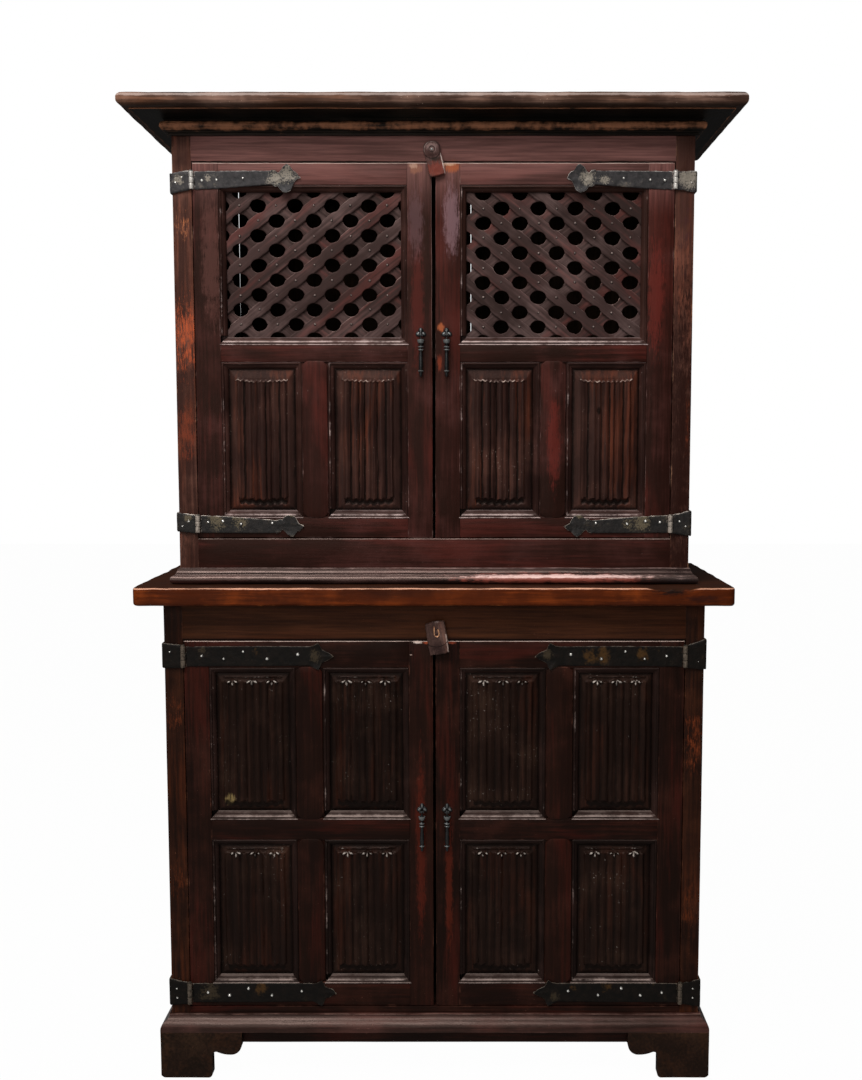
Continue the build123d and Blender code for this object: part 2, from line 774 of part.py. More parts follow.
def linenfold_panel(x, z, groove_y):
    """Panel with tongues in the grooves and a raised field of vertical folds under a header."""
    panel_x = grown(x, groove_depth - panel_play)
    panel_z = grown(z, groove_depth - panel_play)
    face_y = groove_y[0]
    panel = block(panel_x, groove_y, panel_z)
    field_x = grown(x, -sticking_width - fold_field_border)
    field_z = (z[0] + sticking_width + fold_field_foot, z[1] - sticking_width - fold_field_head)
    width = field_x[1] - field_x[0]
    height = field_z[1] - field_z[0]
    centre = in_front(sum(field_x) / 2, face_y, sum(field_z) / 2)
    panel += extrude(centre * Rectangle(width, height), amount=fold_field_rise, taper=fold_field_bevel)
    pitch = width / fold_count
    folds_z = (field_z[0] + fold_field_rise, field_z[1] - fold_header_height)
    for index in range(fold_count):
        fold_x = field_x[0] + (index + 0.5) * pitch
        centre_y = face_y - fold_rise + fold_radius
        place = Pos(fold_x, centre_y, sum(folds_z) / 2)
        panel += place * Cylinder(fold_radius, folds_z[1] - folds_z[0])
    header_x = grown(field_x, -fold_field_rise)
    panel += block(header_x, (face_y - fold_header_rise, face_y),
                   (folds_z[1], field_z[1] - fold_field_rise))
    return panel


def slat_layer(x, z, y, lean):
    """One layer of parallel slats; lean is 1 for slats that rise to the right, -1 to the left."""
    clip_x = grown(x, groove_depth - panel_play)
    clip_z = grown(z, groove_depth - panel_play)
    clip = block(clip_x, y, clip_z)
    centre_x = sum(x) / 2
    centre_z = (sum(z) + lattice_pitch_z) / 2
    slope = degrees(atan2(lattice_pitch_z, lattice_pitch_x))
    spacing = lattice_pitch_x * sin(radians(slope))
    diagonal = hypot(clip_x[1] - clip_x[0], clip_z[1] - clip_z[0])
    count = ceil(diagonal / spacing / 2)
    half_steps = ceil(diagonal / hypot(lattice_pitch_x, lattice_pitch_z)) + 1
    slats = []
    for index in range(-count, count + 1):
        foot_x = centre_x + (index + 0.5) * lattice_pitch_x
        place = Pos(foot_x, sum(y) / 2, centre_z) * Rot(0, -lean * slope, 0)
        slat = place * Box(2 * diagonal, y[1] - y[0], slat_width)
        slat = slat & clip
        if not slat or slat.volume < slat_width ** 2 * (y[1] - y[0]):
            continue
        for step in range(-2 * half_steps, 2 * half_steps + 1):
            for side in (-0.5, 0.5):
                hole_x = foot_x + (step / 2 + side) * lattice_pitch_x
                hole_z = centre_z + lean * step / 2 * lattice_pitch_z
                near_x = clip_x[0] - slat_width < hole_x < clip_x[1] + slat_width
                near_z = clip_z[0] - slat_width < hole_z < clip_z[1] + slat_width
                if near_x and near_z:
                    hole = in_front(hole_x, y[1], hole_z) * Circle(lattice_hole_radius)
                    slat = slat - extrude(hole, amount=y[1] - y[0])
        slats += [piece for piece in slat.solids() if piece.volume > slat_width ** 2]
    return slats


# ---------------------------------------------------------------- drop pulls

def pull_plate(front, height):
    """Three-petal plate with two cheeks and the cross pin that carries the drop."""
    x = -meeting_gap / 2 - pull_setback
    plane = in_front(x, front, height + pull_petal_offset)
    petals = Circle(pull_petal_radius)
    for angle in (90, 210, 330):
        place = Pos(pull_petal_offset * cos(radians(angle)), pull_petal_offset * sin(radians(angle)))
        petals += place * Circle(pull_petal_radius)
    plate = extrude(plane * petals, amount=pull_plate_thickness)
    inner = pull_eye_width / 2 + pull_side_clearance
    cheek_y = (front - pull_pin_standoff - 2 * pull_pin_radius, front)
    cheek_z = (height - 2 * pull_pin_radius, height + 2 * pull_pin_radius)
    for side in (-1, 1):
        cheek_x = sorted((x + side * inner, x + side * (inner + pull_cheek_thickness)))
        plate += block(cheek_x, cheek_y, cheek_z)
    pin_place = Pos(x, front - pull_pin_standoff, height) * Rot(0, 90, 0)
    return plate + pin_place * Cylinder(pull_pin_radius, 2 * inner + pull_cheek_thickness)


def pull_drop(front, height):
    """Turned iron drop: eye, flared cup, two rings, swelling shaft, ring and pointed end."""
    x = -meeting_gap / 2 - pull_setback
    step = drop_length / 84
    stem_radius = drop_shaft_radius * 0.6
    ring_radius = drop_swell_radius * 1.15
    stem_top = (pull_pin_radius + pull_eye_radius) / -2
    cup_top = -pull_eye_radius - 5 * step
    cup_bottom = cup_top - 9 * step
    rings = cup_bottom - 7 * step
    swell = -drop_length + 22 * step
    outline = make_face(
        Polyline(
            (0, stem_top), (stem_radius, stem_top), (stem_radius, cup_top),
            (drop_cup_radius, cup_top - 1.5 * step), (drop_cup_radius * 0.72, cup_bottom),
            (drop_shaft_radius, cup_bottom - step), (drop_swell_radius, cup_bottom - 3 * step),
            (drop_swell_radius, rings + 2 * step), (drop_shaft_radius, rings),
            (drop_swell_radius, swell), (drop_shaft_radius, swell - 3 * step),
            (ring_radius, swell - 5.5 * step), (ring_radius, swell - 8 * step),
            (drop_shaft_radius * 0.8, swell - 10 * step), (drop_shaft_radius, swell - 14 * step),
            (0, -drop_length), (0, stem_top),
        )
    )
    drop = revolve(Plane.XZ * outline, axis=Axis.Z)
    eye = Rot(0, 90, 0) * Cylinder(pull_eye_radius, pull_eye_width)
    drop = drop + eye - Rot(0, 90, 0) * Cylinder(pull_pin_radius + pin_clearance, 2 * pull_eye_width)
    return Pos(x, front - pull_pin_standoff, height) * drop


# ---------------------------------------------------------------- turn buttons

def turn_button(front, x, height, width, tail, thickness, lean, head_share):
    """Wooden button that hangs from its nail over the meeting line of two doors."""
    bore = Cylinder(button_nail_radius + pin_clearance, 4 * thickness)
    head = width * head_share
    corner = width * 0.16
    outline = Pos(0, -tail / 2) * RectangleRounded(width, tail + head, corner)
    outline += Circle(head)
    body = extrude(outline, amount=thickness) - bore
    return in_front(x, front - button_clearance, height) * Rot(0, 0, lean) * body


def button_nail(front, x, height, thickness):
    """Nail that a button turns on, driven into the rail behind it."""
    standoff = button_clearance + thickness + button_clearance
    place = in_front(x, front - standoff, height)
    length = standoff + button_nail_depth
    return nail(place, button_nail_radius, length, button_nail_head_radius, 1.5 * nail_head_height)


def button_nail_hole(front, x, height):
    """Cutter for a button's nail in the rail behind it."""
    depth = button_nail_depth + 1.0
    return in_front(x, front, height) * Pos(0, 0, -depth / 2) * Cylinder(
        button_nail_radius + nail_clearance, depth)


# ---------------------------------------------------------------- assembly

def build_doors(prefix, door, hinges, pull_height):
    """Sub-parts of a left-hand and a right-hand door."""
    nails = [place for hinge in hinges for place in hinge.nails_on_door()]
    stiles, rails = door.frame(nails)
    parts = {
        "stiles": stiles,
        "rails": rails,
        "mouldings": door.stickings(),
        "panels": door.panels(),
        "straps": [hinge.strap() for hinge in hinges],
        "nails": [nail(place) for place in nails],
        "pull_plate": [pull_plate(door.front, pull_height)],
        "pull_drop": [pull_drop(door.front, pull_height)],
    }
    if len(door.muntin_rows) < len(door.rows):
        parts["lattice"] = door.lattice()
    named = {}
    for part_name, solids in parts.items():
        named[f"{prefix}_left_{part_name}"] = solids
        named[f"{prefix}_right_{part_name}"] = mirrored(solids)
    return named


def build_case(stage, half_width, front, posts_z, walls_z, rail_z, shelf_top, hinges, button):
    """Posts, rails, panels, boards and shelves of one stage."""
    bottom_rail, bottom_mortise = front_rail(half_width, front, *rail_z[0])
    top_rail, top_mortise = front_rail(half_width, front, *rail_z[1])
    floor_top = rail_z[0][1]
    side_z = [
        (walls_z[0], walls_z[0] + side_bottom_rail_height),
        (shelf_top - side_middle_rail_height, shelf_top),
        (walls_z[1] - side_top_rail_height, walls_z[1]),
    ]
    side_rails, side_panels, side_cutter = side_frame(half_width, front, *walls_z, side_z)
    nails = [place for hinge in hinges for place in hinge.nails_on_post()]
    posts = case_posts(half_width, front, *posts_z, [bottom_mortise, top_mortise, side_cutter], nails)
    floor_front = front + front_rail_thickness
    shelf_front = front + door_thickness + shelf_front_setback
    parts = {
        f"{stage}_posts": posts + mirrored(posts),
        f"{stage}_front_rails": [bottom_rail, top_rail - button_nail_hole(front, *button)],
        f"{stage}_side_rails": side_rails + mirrored(side_rails),
        f"{stage}_side_panels": side_panels + mirrored(side_panels),
        f"{stage}_back_boards": back_boards(half_width, *walls_z),
        f"{stage}_floor": shelf_boards(half_width, floor_front, floor_top),
        f"{stage}_shelf": shelf_boards(half_width, shelf_front, shelf_top),
    }
    cleats = shelf_cleats(half_width, front, floor_top) + shelf_cleats(half_width, front, shelf_top)
    return parts, cleats, nails


def build_all():
    """Every sub-part by name, as a list of separate solids."""
    turned_neck = tuple(-up for up in reversed(upper_strap_neck))
    turned_finial = [(along, -up * turned_finial_share) for along, up in reversed(upper_finial)]
    upper_finials = (
        (upper_finial_length, turned_neck, turned_finial),
        (upper_finial_length, upper_strap_neck, upper_finial),
    )
    upper_nails = (upper_bottom_strap_nails, upper_top_strap_nails)
    lower_finial_form = (lower_finial_length, lower_strap_neck, lower_finial)
    upper_hinges = [
        Hinge(upper_half, upper_front, centre, upper_strap_height, upper_strap_length,
              finial_form, strap_nails, upper_leaf_nails)
        for centre, finial_form, strap_nails in zip(upper_strap_centres, upper_finials, upper_nails)
    ]
    lower_hinges = [
        Hinge(lower_half, lower_front, centre, lower_strap_height, lower_strap_length,
              lower_finial_form, lower_strap_nails, lower_leaf_nails)
        for centre in lower_strap_centres
    ]
    upper_door = Door(
        upper_half, upper_front, upper_door_bottom, upper_door_height, upper_stile_width,
        (upper_door_bottom_rail, upper_door_middle_rail, upper_door_top_rail),
        upper_muntin_width, upper_door_panel_row, (0,))
    lower_door = Door(
        lower_half, lower_front, lower_door_bottom, lower_door_height, lower_stile_width,
        (lower_door_bottom_rail, lower_door_middle_rail, lower_door_top_rail),
        lower_muntin_width, lower_door_panel_row, (0, 1))
    upper_parts, upper_cleats, upper_case_nails = build_case(
        "upper", upper_half, upper_front, (slab_top, top_board_bottom), (slab_top, top_board_bottom),
        ((slab_top, upper_bottom_rail_top), (upper_top_rail_bottom, top_board_bottom)),
        upper_shelf_height, upper_hinges, (upper_button_x, upper_button_height))
    lower_parts, lower_cleats, lower_case_nails = build_case(
        "lower", lower_half, lower_front, (0.0, slab_bottom), (apron_clearance, slab_bottom),
        ((apron_clearance, lower_bottom_rail_top), (lower_top_rail_bottom, slab_bottom)),
        lower_shelf_height, lower_hinges, (lower_button_x, lower_button_height))

    hinges = upper_hinges + lower_hinges
    leaves = [hinge.leaf() for hinge in hinges]
    pins = [hinge.pin() for hinge in hinges]
    leaf_nails = [nail(place) for place in upper_case_nails + lower_case_nails]
    button_nails = [
        button_nail(upper_front, upper_button_x, upper_button_height, upper_button_thickness),
        button_nail(lower_front, lower_button_x, lower_button_height, lower_button_thickness),
    ]
    cornice_base = top_board_bottom - cornice_moulding_height
    parts = {
        "top_board": [top_board()],
        "cornice_mouldings": wrap_case(
            cornice_section(), cornice_cove_projection, upper_half, upper_front, cornice_base),
        "waist_mouldings": wrap_case(
            waist_section(), waist_torus_projection, upper_half, upper_front, slab_top),
        "waist_slab": [slab()],
        "base_mouldings": wrap_case(
            base_section(), foot_board_thickness, lower_half, lower_front, foot_height),
        "bracket_feet": bracket_feet(),
        "shelf_cleats": upper_cleats + lower_cleats,
        "hinge_leaves": leaves + mirrored(leaves),
        "hinge_pins": pins + mirrored(pins),
        "case_nails": leaf_nails + mirrored(leaf_nails) + button_nails,
        "turn_button_upper": [turn_button(
            upper_front, upper_button_x, upper_button_height, upper_button_width,
            upper_button_tail, upper_button_thickness, upper_button_lean, 0.5)],
        "turn_button_lower": [turn_button(
            lower_front, lower_button_x, lower_button_height, lower_button_width,
            lower_button_tail, lower_button_thickness, lower_button_lean, 0.5)],
    }
    parts.update(upper_parts)
    parts.update(lower_parts)
    parts.update(build_doors("door_upper", upper_door, upper_hinges, upper_pull_height))
    parts.update(build_doors("door_lower", lower_door, lower_hinges, lower_pull_height))
    return parts


os.makedirs("parts", exist_ok=True)
for part_name, part_solids in build_all().items():
    save(part_name, part_solids)
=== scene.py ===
"""Looks of a two-stage trastero cabinet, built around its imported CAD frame."""
import math
import bmesh
import bpy
import numpy as np
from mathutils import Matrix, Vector, noise


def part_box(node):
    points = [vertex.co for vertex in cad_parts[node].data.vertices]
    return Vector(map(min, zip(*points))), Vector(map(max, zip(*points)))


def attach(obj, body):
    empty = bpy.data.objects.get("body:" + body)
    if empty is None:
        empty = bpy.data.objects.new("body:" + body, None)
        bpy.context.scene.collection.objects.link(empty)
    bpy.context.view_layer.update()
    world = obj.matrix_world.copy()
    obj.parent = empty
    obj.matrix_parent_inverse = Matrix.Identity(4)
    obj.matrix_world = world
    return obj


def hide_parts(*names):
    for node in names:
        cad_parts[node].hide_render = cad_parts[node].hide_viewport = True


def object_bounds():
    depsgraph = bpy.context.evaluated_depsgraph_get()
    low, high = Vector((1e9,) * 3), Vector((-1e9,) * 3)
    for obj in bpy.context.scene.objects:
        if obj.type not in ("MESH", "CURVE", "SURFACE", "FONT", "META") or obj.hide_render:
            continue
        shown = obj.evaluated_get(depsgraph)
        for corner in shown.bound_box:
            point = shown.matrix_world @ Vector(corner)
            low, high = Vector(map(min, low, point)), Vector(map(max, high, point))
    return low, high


bl_info = {
    "name": "Trastero cabinet",
    "version": (1, 0, 0),
    "blender": (4, 5, 0),
    "location": "View3D > Sidebar > Trastero",
    "description": "Waxed wood, carved panels and wrought iron of a two-stage cabinet",
    "category": "Object",
}

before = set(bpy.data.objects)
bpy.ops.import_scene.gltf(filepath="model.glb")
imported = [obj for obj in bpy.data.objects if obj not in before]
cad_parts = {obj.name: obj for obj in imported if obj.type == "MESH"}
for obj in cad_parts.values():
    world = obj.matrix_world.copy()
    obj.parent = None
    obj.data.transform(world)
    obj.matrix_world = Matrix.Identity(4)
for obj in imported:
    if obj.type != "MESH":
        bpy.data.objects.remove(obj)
CAD_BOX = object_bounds()
DOORS = ("door_upper_left", "door_upper_right", "door_lower_left", "door_lower_right")


# ---------------------------------------------------------------- shader signals

class Signal:
    """A node's output that takes part in Python arithmetic."""

    def __init__(self, tree, socket):
        self.tree = tree
        self.socket = socket

    def maths(self, operation, *others, swapped=False):
        node = self.tree.nodes.new("ShaderNodeMath")
        node.operation = operation
        terms = [self, *others]
        if swapped:
            terms.reverse()
        for index, term in enumerate(terms):
            plug(self.tree, node.inputs[index], term)
        return Signal(self.tree, node.outputs[0])

    def __add__(self, other):
        return self.maths("ADD", other)

    def __sub__(self, other):
        return self.maths("SUBTRACT", other)

    def __mul__(self, other):
        return self.maths("MULTIPLY", other)

    def __truediv__(self, other):
        return self.maths("DIVIDE", other)

    def __rsub__(self, other):
        return self.maths("SUBTRACT", other, swapped=True)

    __radd__ = __add__
    __rmul__ = __mul__

    def lower(self, other):
        return self.maths("MINIMUM", other)

    def higher(self, other):
        return self.maths("MAXIMUM", other)

    def magnitude(self):
        return self.maths("ABSOLUTE")

    def ramp(self, start, end, low=0.0, high=1.0):
        """Smooth step from low to high as the signal goes from start to end."""
        node = self.tree.nodes.new("ShaderNodeMapRange")
        node.interpolation_type = "SMOOTHSTEP"
        plug(self.tree, node.inputs["Value"], self)
        for name, value in (("From Min", start), ("From Max", end), ("To Min", low), ("To Max", high)):
            node.inputs[name].default_value = value
        return Signal(self.tree, node.outputs[0])


def plug(tree, socket, value):
    """Link a signal to a socket, or set a plain value on it."""
    if isinstance(value, Signal):
        tree.links.new(value.socket, socket)
    elif isinstance(value, (tuple, list)) and len(value) == 3 and socket.type == "RGBA":
        socket.default_value = (*value, 1.0)
    else:
        socket.default_value = value


BOARD_SHIFTS = (7.3, 3.1, 5.7)


class Finish:
    """A material and the signals that its colour, gloss and relief are made from."""

    def __init__(self, name):
        self.material = bpy.data.materials.new(name)
        self.material.use_nodes = True
        self.tree = self.material.node_tree
        self.shader = next(n for n in self.tree.nodes if n.type == "BSDF_PRINCIPLED")

    def node(self, kind, settings=None, inputs=None, output=0):
        """Any node: its settings first, then its sockets; returns one output."""
        node = self.tree.nodes.new(kind)
        for key, value in (settings or {}).items():
            setattr(node, key, value)
        for key, value in (inputs or {}).items():
            plug(self.tree, node.inputs[key], value)
        return Signal(self.tree, node.outputs[output])

    def vectors(self, operation, *terms, output=0):
        """Arithmetic on vectors, of signals or plain."""
        return self.node("ShaderNodeVectorMath", {"operation": operation}, dict(enumerate(terms)), output)

    def attribute(self, name, output="Vector"):
        return self.node("ShaderNodeAttribute", {"attribute_name": name}, output=output)

    def place(self):
        """Object coordinates, in metres."""
        return self.node("ShaderNodeTexCoord", output="Object")

    def stretched(self, vector, scales, shift=None):
        """The vector times a scale for each axis, moved by a signal."""
        scaled = self.vectors("MULTIPLY", vector, scales)
        if shift is None:
            return scaled
        offsets = {axis: shift * amount for axis, amount in enumerate(BOARD_SHIFTS)}
        return self.vectors("ADD", scaled, self.node("ShaderNodeCombineXYZ", {}, offsets))

    def speckle(self, vector, scale=1.0, detail=3.0, rough=0.55, warp=0.0):
        """Fractal noise from 0 to 1."""
        return self.node("ShaderNodeTexNoise", {}, {
            "Vector": vector, "Scale": scale, "Detail": detail, "Roughness": rough, "Distortion": warp})

    def split(self, vector):
        node = self.tree.nodes.new("ShaderNodeSeparateXYZ")
        plug(self.tree, node.inputs[0], vector)
        return [Signal(self.tree, output) for output in node.outputs]

    def blend(self, factor, first, second):
        """Colour that goes from first to second with the factor."""
        node = self.tree.nodes.new("ShaderNodeMix")
        node.data_type = "RGBA"
        node.clamp_factor = True
        plug(self.tree, node.inputs[0], factor)
        plug(self.tree, node.inputs[6], first)
        plug(self.tree, node.inputs[7], second)
        return Signal(self.tree, node.outputs[2])

    def patch(self, place, centre, radii):
        """Soft mask of 1 at a point that falls to 0 at the radii."""
        share = self.vectors("DIVIDE", self.vectors("SUBTRACT", place, centre), radii)
        return self.vectors("LENGTH", share, output="Value").ramp(1.0, 0.0)

    def relief(self, height, depth):
        """Bump from a height signal; depth is the metres that a height of 1 stands for."""
        bump = self.node("ShaderNodeBump", {}, {"Strength": 1.0, "Distance": depth, "Height": height})
        plug(self.tree, self.shader.inputs["Normal"], bump)

    def set(self, **values):
        """Set or link the shader's sockets, with underscores for spaces."""
        for name, value in values.items():
            plug(self.tree, self.shader.inputs[name.replace("_", " ")], value)
        return self.material


def linear(red, green, blue):
    """Scene-linear colour of an 8-bit display colour."""
    parts = []
    for value in (red, green, blue):
        share = value / 255
        parts.append(share / 12.92 if share <= 0.04045 else ((share + 0.055) / 1.055) ** 2.4)
    return tuple(parts)


# ---------------------------------------------------------------- settings

class TRASTERO_PG_sizes(bpy.types.PropertyGroup):
    """Sizes of the worn, sawn and forged detail."""

    board_edge: bpy.props.FloatProperty(
        name="Board edge", description="Width of the eased edges of the case's boards", default=0.0014,
        min=0.0, unit="LENGTH")
    stile_edge: bpy.props.FloatProperty(
        name="Stile edge", description="Width of the eased edges of the door stiles", default=0.0022,
        min=0.0005, unit="LENGTH")
    wave: bpy.props.FloatProperty(
        name="Wave", description="How far the slab's edges stray from straight", default=0.0014, min=0.0,
        unit="LENGTH")
    slat_width: bpy.props.FloatProperty(
        name="Slat width", description="Width of a lattice slat between its scallops", default=0.025,
        min=0.010, unit="LENGTH")
    slat_thickness: bpy.props.FloatProperty(
        name="Slat thickness", description="Thickness of each layer of the lattice", default=0.005,
        min=0.002, unit="LENGTH")
    lattice_hole: bpy.props.FloatProperty(
        name="Lattice hole", description="Radius of the rounded holes of the lattice", default=0.0136,
        min=0.004, unit="LENGTH")
    plate: bpy.props.FloatProperty(
        name="Iron plate", description="Thickness of the straps and leaves", default=0.0024, min=0.001,
        unit="LENGTH")
    nail_head: bpy.props.FloatProperty(
        name="Nail head", description="Radius of the nail heads in the ironwork", default=0.0031,
        min=0.001, unit="LENGTH")
    lattice_nail: bpy.props.FloatProperty(
        name="Lattice nail", description="Radius of the nail heads in the lattice", default=0.0025,
        min=0.0008, unit="LENGTH")


def stain(name, description, colour):
    """A colour setting whose default is a display colour."""
    return bpy.props.FloatVectorProperty(
        name=name, description=description, default=linear(*colour), min=0.0, max=1.0, size=3,
        subtype="COLOR")


class TRASTERO_PG_colours(bpy.types.PropertyGroup):
    """Main colours of the wood and the iron."""

    upper_frame: stain("Upper frame", "Stain of the upper doors' frames and rails", (44, 20, 16))
    upper_post: stain("Upper posts", "Stain of the upper posts", (65, 39, 31))
    upper_panel: stain("Upper panels", "Stain of the upper linenfold panels", (45, 29, 25))
    lattice: stain("Lattice", "Stain of the lattice slats", (61, 45, 43))
    cornice: stain("Cornice", "Stain of the cornice moulding", (21, 18, 16))
    slab: stain("Slab", "Stain of the waist slab", (80, 31, 8))
    lower_frame: stain("Lower frame", "Stain of the lower doors' frames and rails", (30, 14, 9))
    lower_post: stain("Lower posts", "Stain of the lower posts", (35, 17, 11))
    lower_panel: stain("Lower panels", "Stain of the lower linenfold panels", (27, 16, 12))
    bare_wood: stain("Bare wood", "Wood where the stain has gone", (150, 80, 48))
    upper_iron: stain("Upper iron", "Skin of the upper top straps", (48, 44, 44))
    middle_iron: stain("Middle iron", "Skin of the upper bottom straps", (32, 27, 24))
    lower_iron: stain("Lower iron", "Skin of the lower straps", (18, 12, 8))
    nail: stain("Nails", "Skin of the nail heads", (90, 86, 82))


def sizes():
    return bpy.context.scene.trastero_sizes


def paint(shade):
    """Scene-linear colour of a colour setting's name, or of an 8-bit display colour."""
    if isinstance(shade, str):
        return tuple(getattr(bpy.context.scene.trastero_colours, shade))
    return linear(*shade)


# ---------------------------------------------------------------- mesh helpers

def deselect():
    """Leave edit mode and deselect every object."""
    if bpy.context.object and bpy.context.object.mode != "OBJECT":
        bpy.ops.object.mode_set(mode="OBJECT")
    bpy.ops.object.select_all(action="DESELECT")


def activate(piece):
    deselect()
    piece.select_set(True)
    bpy.context.view_layer.objects.active = piece


def settle(piece):
    """Put the piece's place into its mesh."""
    activate(piece)
    bpy.ops.object.transform_apply(location=True, rotation=True, scale=True)


def join(pieces, label):
    """One object of several."""
    deselect()
    for piece in pieces:
        piece.select_set(True)
    bpy.context.view_layer.objects.active = pieces[0]
    if len(pieces) > 1:
        bpy.ops.object.join()
    pieces[0].name = label
    pieces[0].data.name = label
    return pieces[0]


def named(label):
    """The piece that was just added, with its name."""
    piece = bpy.context.object
    piece.name = label
    piece.data.name = label
    return piece


def face_outwards():
    """Turn every face of the piece in edit mode outwards."""
    bpy.ops.mesh.select_all(action="SELECT")
    bpy.ops.mesh.normals_make_consistent(inside=False)


MERGE_DISTANCE = 0.00002
FLAT_ANGLE = 0.8


def copied(node, label):
    """A merged, clean copy of a CAD node's mesh as a new object."""
    piece = bpy.data.objects.new(label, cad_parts[node].data.copy())
    bpy.context.scene.collection.objects.link(piece)
    piece.data.name = label
    activate(piece)
    if piece.data.has_custom_normals:
        bpy.ops.mesh.customdata_custom_splitnormals_clear()
    bpy.ops.object.mode_set(mode="EDIT")
    bpy.ops.mesh.select_all(action="SELECT")
    bpy.ops.mesh.remove_doubles(threshold=MERGE_DISTANCE)
    bpy.ops.mesh.dissolve_limited(angle_limit=math.radians(FLAT_ANGLE))
    bpy.ops.mesh.normals_make_consistent(inside=False)
    bpy.ops.object.mode_set(mode="OBJECT")
    return piece


def applied(piece, kind, **settings):
    """Add a modifier with its settings and apply it."""
    activate(piece)
    modifier = piece.modifiers.new(kind.title(), kind)
    for key, value in settings.items():
        setattr(modifier, key, value)
    bpy.ops.object.modifier_apply(modifier=modifier.name)
    return piece


SHARP_ANGLE = 28


def rounded(piece, width, segments=2):
    """Bevel every sharp edge."""
    return applied(
        piece, "BEVEL", width=width, segments=segments, limit_method="ANGLE",
        angle_limit=math.radians(SHARP_ANGLE), use_clamp_overlap=True, miter_outer="MITER_ARC")


def sliced(piece, axis, step):
    """Cut the whole mesh by evenly spaced planes, so that it has points to move."""
    corners = np.array([corner[:] for corner in piece.bound_box])
    start, end = corners[:, axis].min(), corners[:, axis].max()
    count = max(1, int((end - start) / step))
    normal = [0.0, 0.0, 0.0]
    normal[axis] = 1.0
    activate(piece)
    bpy.ops.object.mode_set(mode="EDIT")
    for index in range(1, count):
        point = [0.0, 0.0, 0.0]
        point[axis] = start + (end - start) * index / count
        bpy.ops.mesh.select_all(action="SELECT")
        bpy.ops.mesh.bisect(plane_co=point, plane_no=normal)
    bpy.ops.object.mode_set(mode="OBJECT")
    return piece


def points_of(piece):
    """The mesh's points as an array."""
    points = np.empty(len(piece.data.vertices) * 3, np.float32)
    piece.data.vertices.foreach_get("co", points)
    return points.reshape(-1, 3).astype(float)


def move_points(piece, points):
    piece.data.vertices.foreach_set("co", np.ascontiguousarray(points, np.float32).ravel())
    piece.data.update()


NOISE_SEED = 7


def unevened(piece, amount, spacing=0.05, keep=None):
    """Move the points a little by smooth noise, as hand tools and long use leave them.

    The noise is seeded, so that each run gives the same shapes.
    """
    noise.seed_set(NOISE_SEED)
    points = points_of(piece)
    for index, point in enumerate(points):
        if keep is not None and keep(point):
            continue
        sample = Vector(point) / spacing
        points[index] += np.array(noise.noise_vector(sample)) * amount
    move_points(piece, points)
    return piece


def islands(piece):
    """The number of the loose part that each point belongs to."""
    count = len(piece.data.vertices)
    parent = list(range(count))

    def root(item):
        while parent[item] != item:
            parent[item] = parent[parent[item]]
            item = parent[item]
        return item

    for edge in piece.data.edges:
        first, second = root(edge.vertices[0]), root(edge.vertices[1])
        if first != second:
            parent[second] = first
    roots = [root(item) for item in range(count)]
    numbers = {value: index for index, value in enumerate(dict.fromkeys(roots))}
    return np.array([numbers[value] for value in roots])


def put_attribute(piece, name, kind, values):
    layer = piece.data.attributes.get(name) or piece.data.attributes.new(name, kind, "POINT")
    layer.data.foreach_set("vector" if kind == "FLOAT_VECTOR" else "value",
                           np.ascontiguousarray(values, np.float32).ravel())


def mark_boards(piece, seed):
    """Give each board its grain direction, its half size and its own tone."""
    points = points_of(piece)
    numbers = islands(piece)
    grain = np.zeros_like(points)
    reach = np.zeros_like(points)
    tone = np.zeros(len(points))
    for number in range(numbers.max() + 1):
        chosen = numbers == number
        low, high = points[chosen].min(0), points[chosen].max(0)
        centre, half = (low + high) / 2, (high - low) / 2
        order = np.argsort(-half)
        grain[chosen] = (points[chosen] - centre)[:, order]
        reach[chosen] = half[order]
        draw = math.sin((number + 1) * 12.9898 + seed * 78.233 + centre[0] * 9.0) * 43758.5453
        tone[chosen] = draw % 1.0
    put_attribute(piece, "grain", "FLOAT_VECTOR", grain)
    put_attribute(piece, "reach", "FLOAT_VECTOR", reach)
    put_attribute(piece, "tone", "FLOAT", tone)
    if piece.data.attributes.get("wear") is None:
        put_attribute(piece, "wear", "FLOAT", np.zeros(len(points)))
    return piece


RUB_MARGIN = 0.0028
RUB_STRENGTH = 0.62
NO_EDGE_NEAR = 9.0


def rub_sides(piece):
    """Mark the two upright edges of a board as worn by rubbing."""
    across = points_of(piece)[:, 0]
    inwards = np.minimum(across - across.min(), across.max() - across)
    put_attribute(piece, "wear", "FLOAT", np.clip(1 - inwards / RUB_MARGIN, 0, 1) * RUB_STRENGTH)
    return piece


def mark_shape(piece, grain, wear, tone=0.5):
    """Grain, and worn and painted-highlight marks, of a piece that isn't a plain board."""
    count = len(piece.data.vertices)
    put_attribute(piece, "grain", "FLOAT_VECTOR", grain)
    put_attribute(piece, "reach", "FLOAT_VECTOR", np.full((count, 3), NO_EDGE_NEAR))
    put_attribute(piece, "tone", "FLOAT", np.full(count, tone))
    put_attribute(piece, "wear", "FLOAT", wear)
    return piece


def dressed(piece, material, body, nodes, smooth=32):
    """Finish a piece: material, shading, body, and the CAD nodes that it stands for."""
    move_points(piece, np.clip(points_of(piece), CAD_BOX[0], CAD_BOX[1]))
    piece.data.materials.clear()
    piece.data.materials.append(MATERIALS[material])
    activate(piece)
    bpy.ops.object.shade_smooth_by_angle(angle=math.radians(smooth))
    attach(piece, body)
    if nodes:
        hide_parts(*nodes)
    return piece


def held_inside(piece, node):
    """Draw the points back into the box of the CAD node."""
    low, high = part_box(node)
    move_points(piece, np.clip(points_of(piece), np.array(low), np.array(high)))


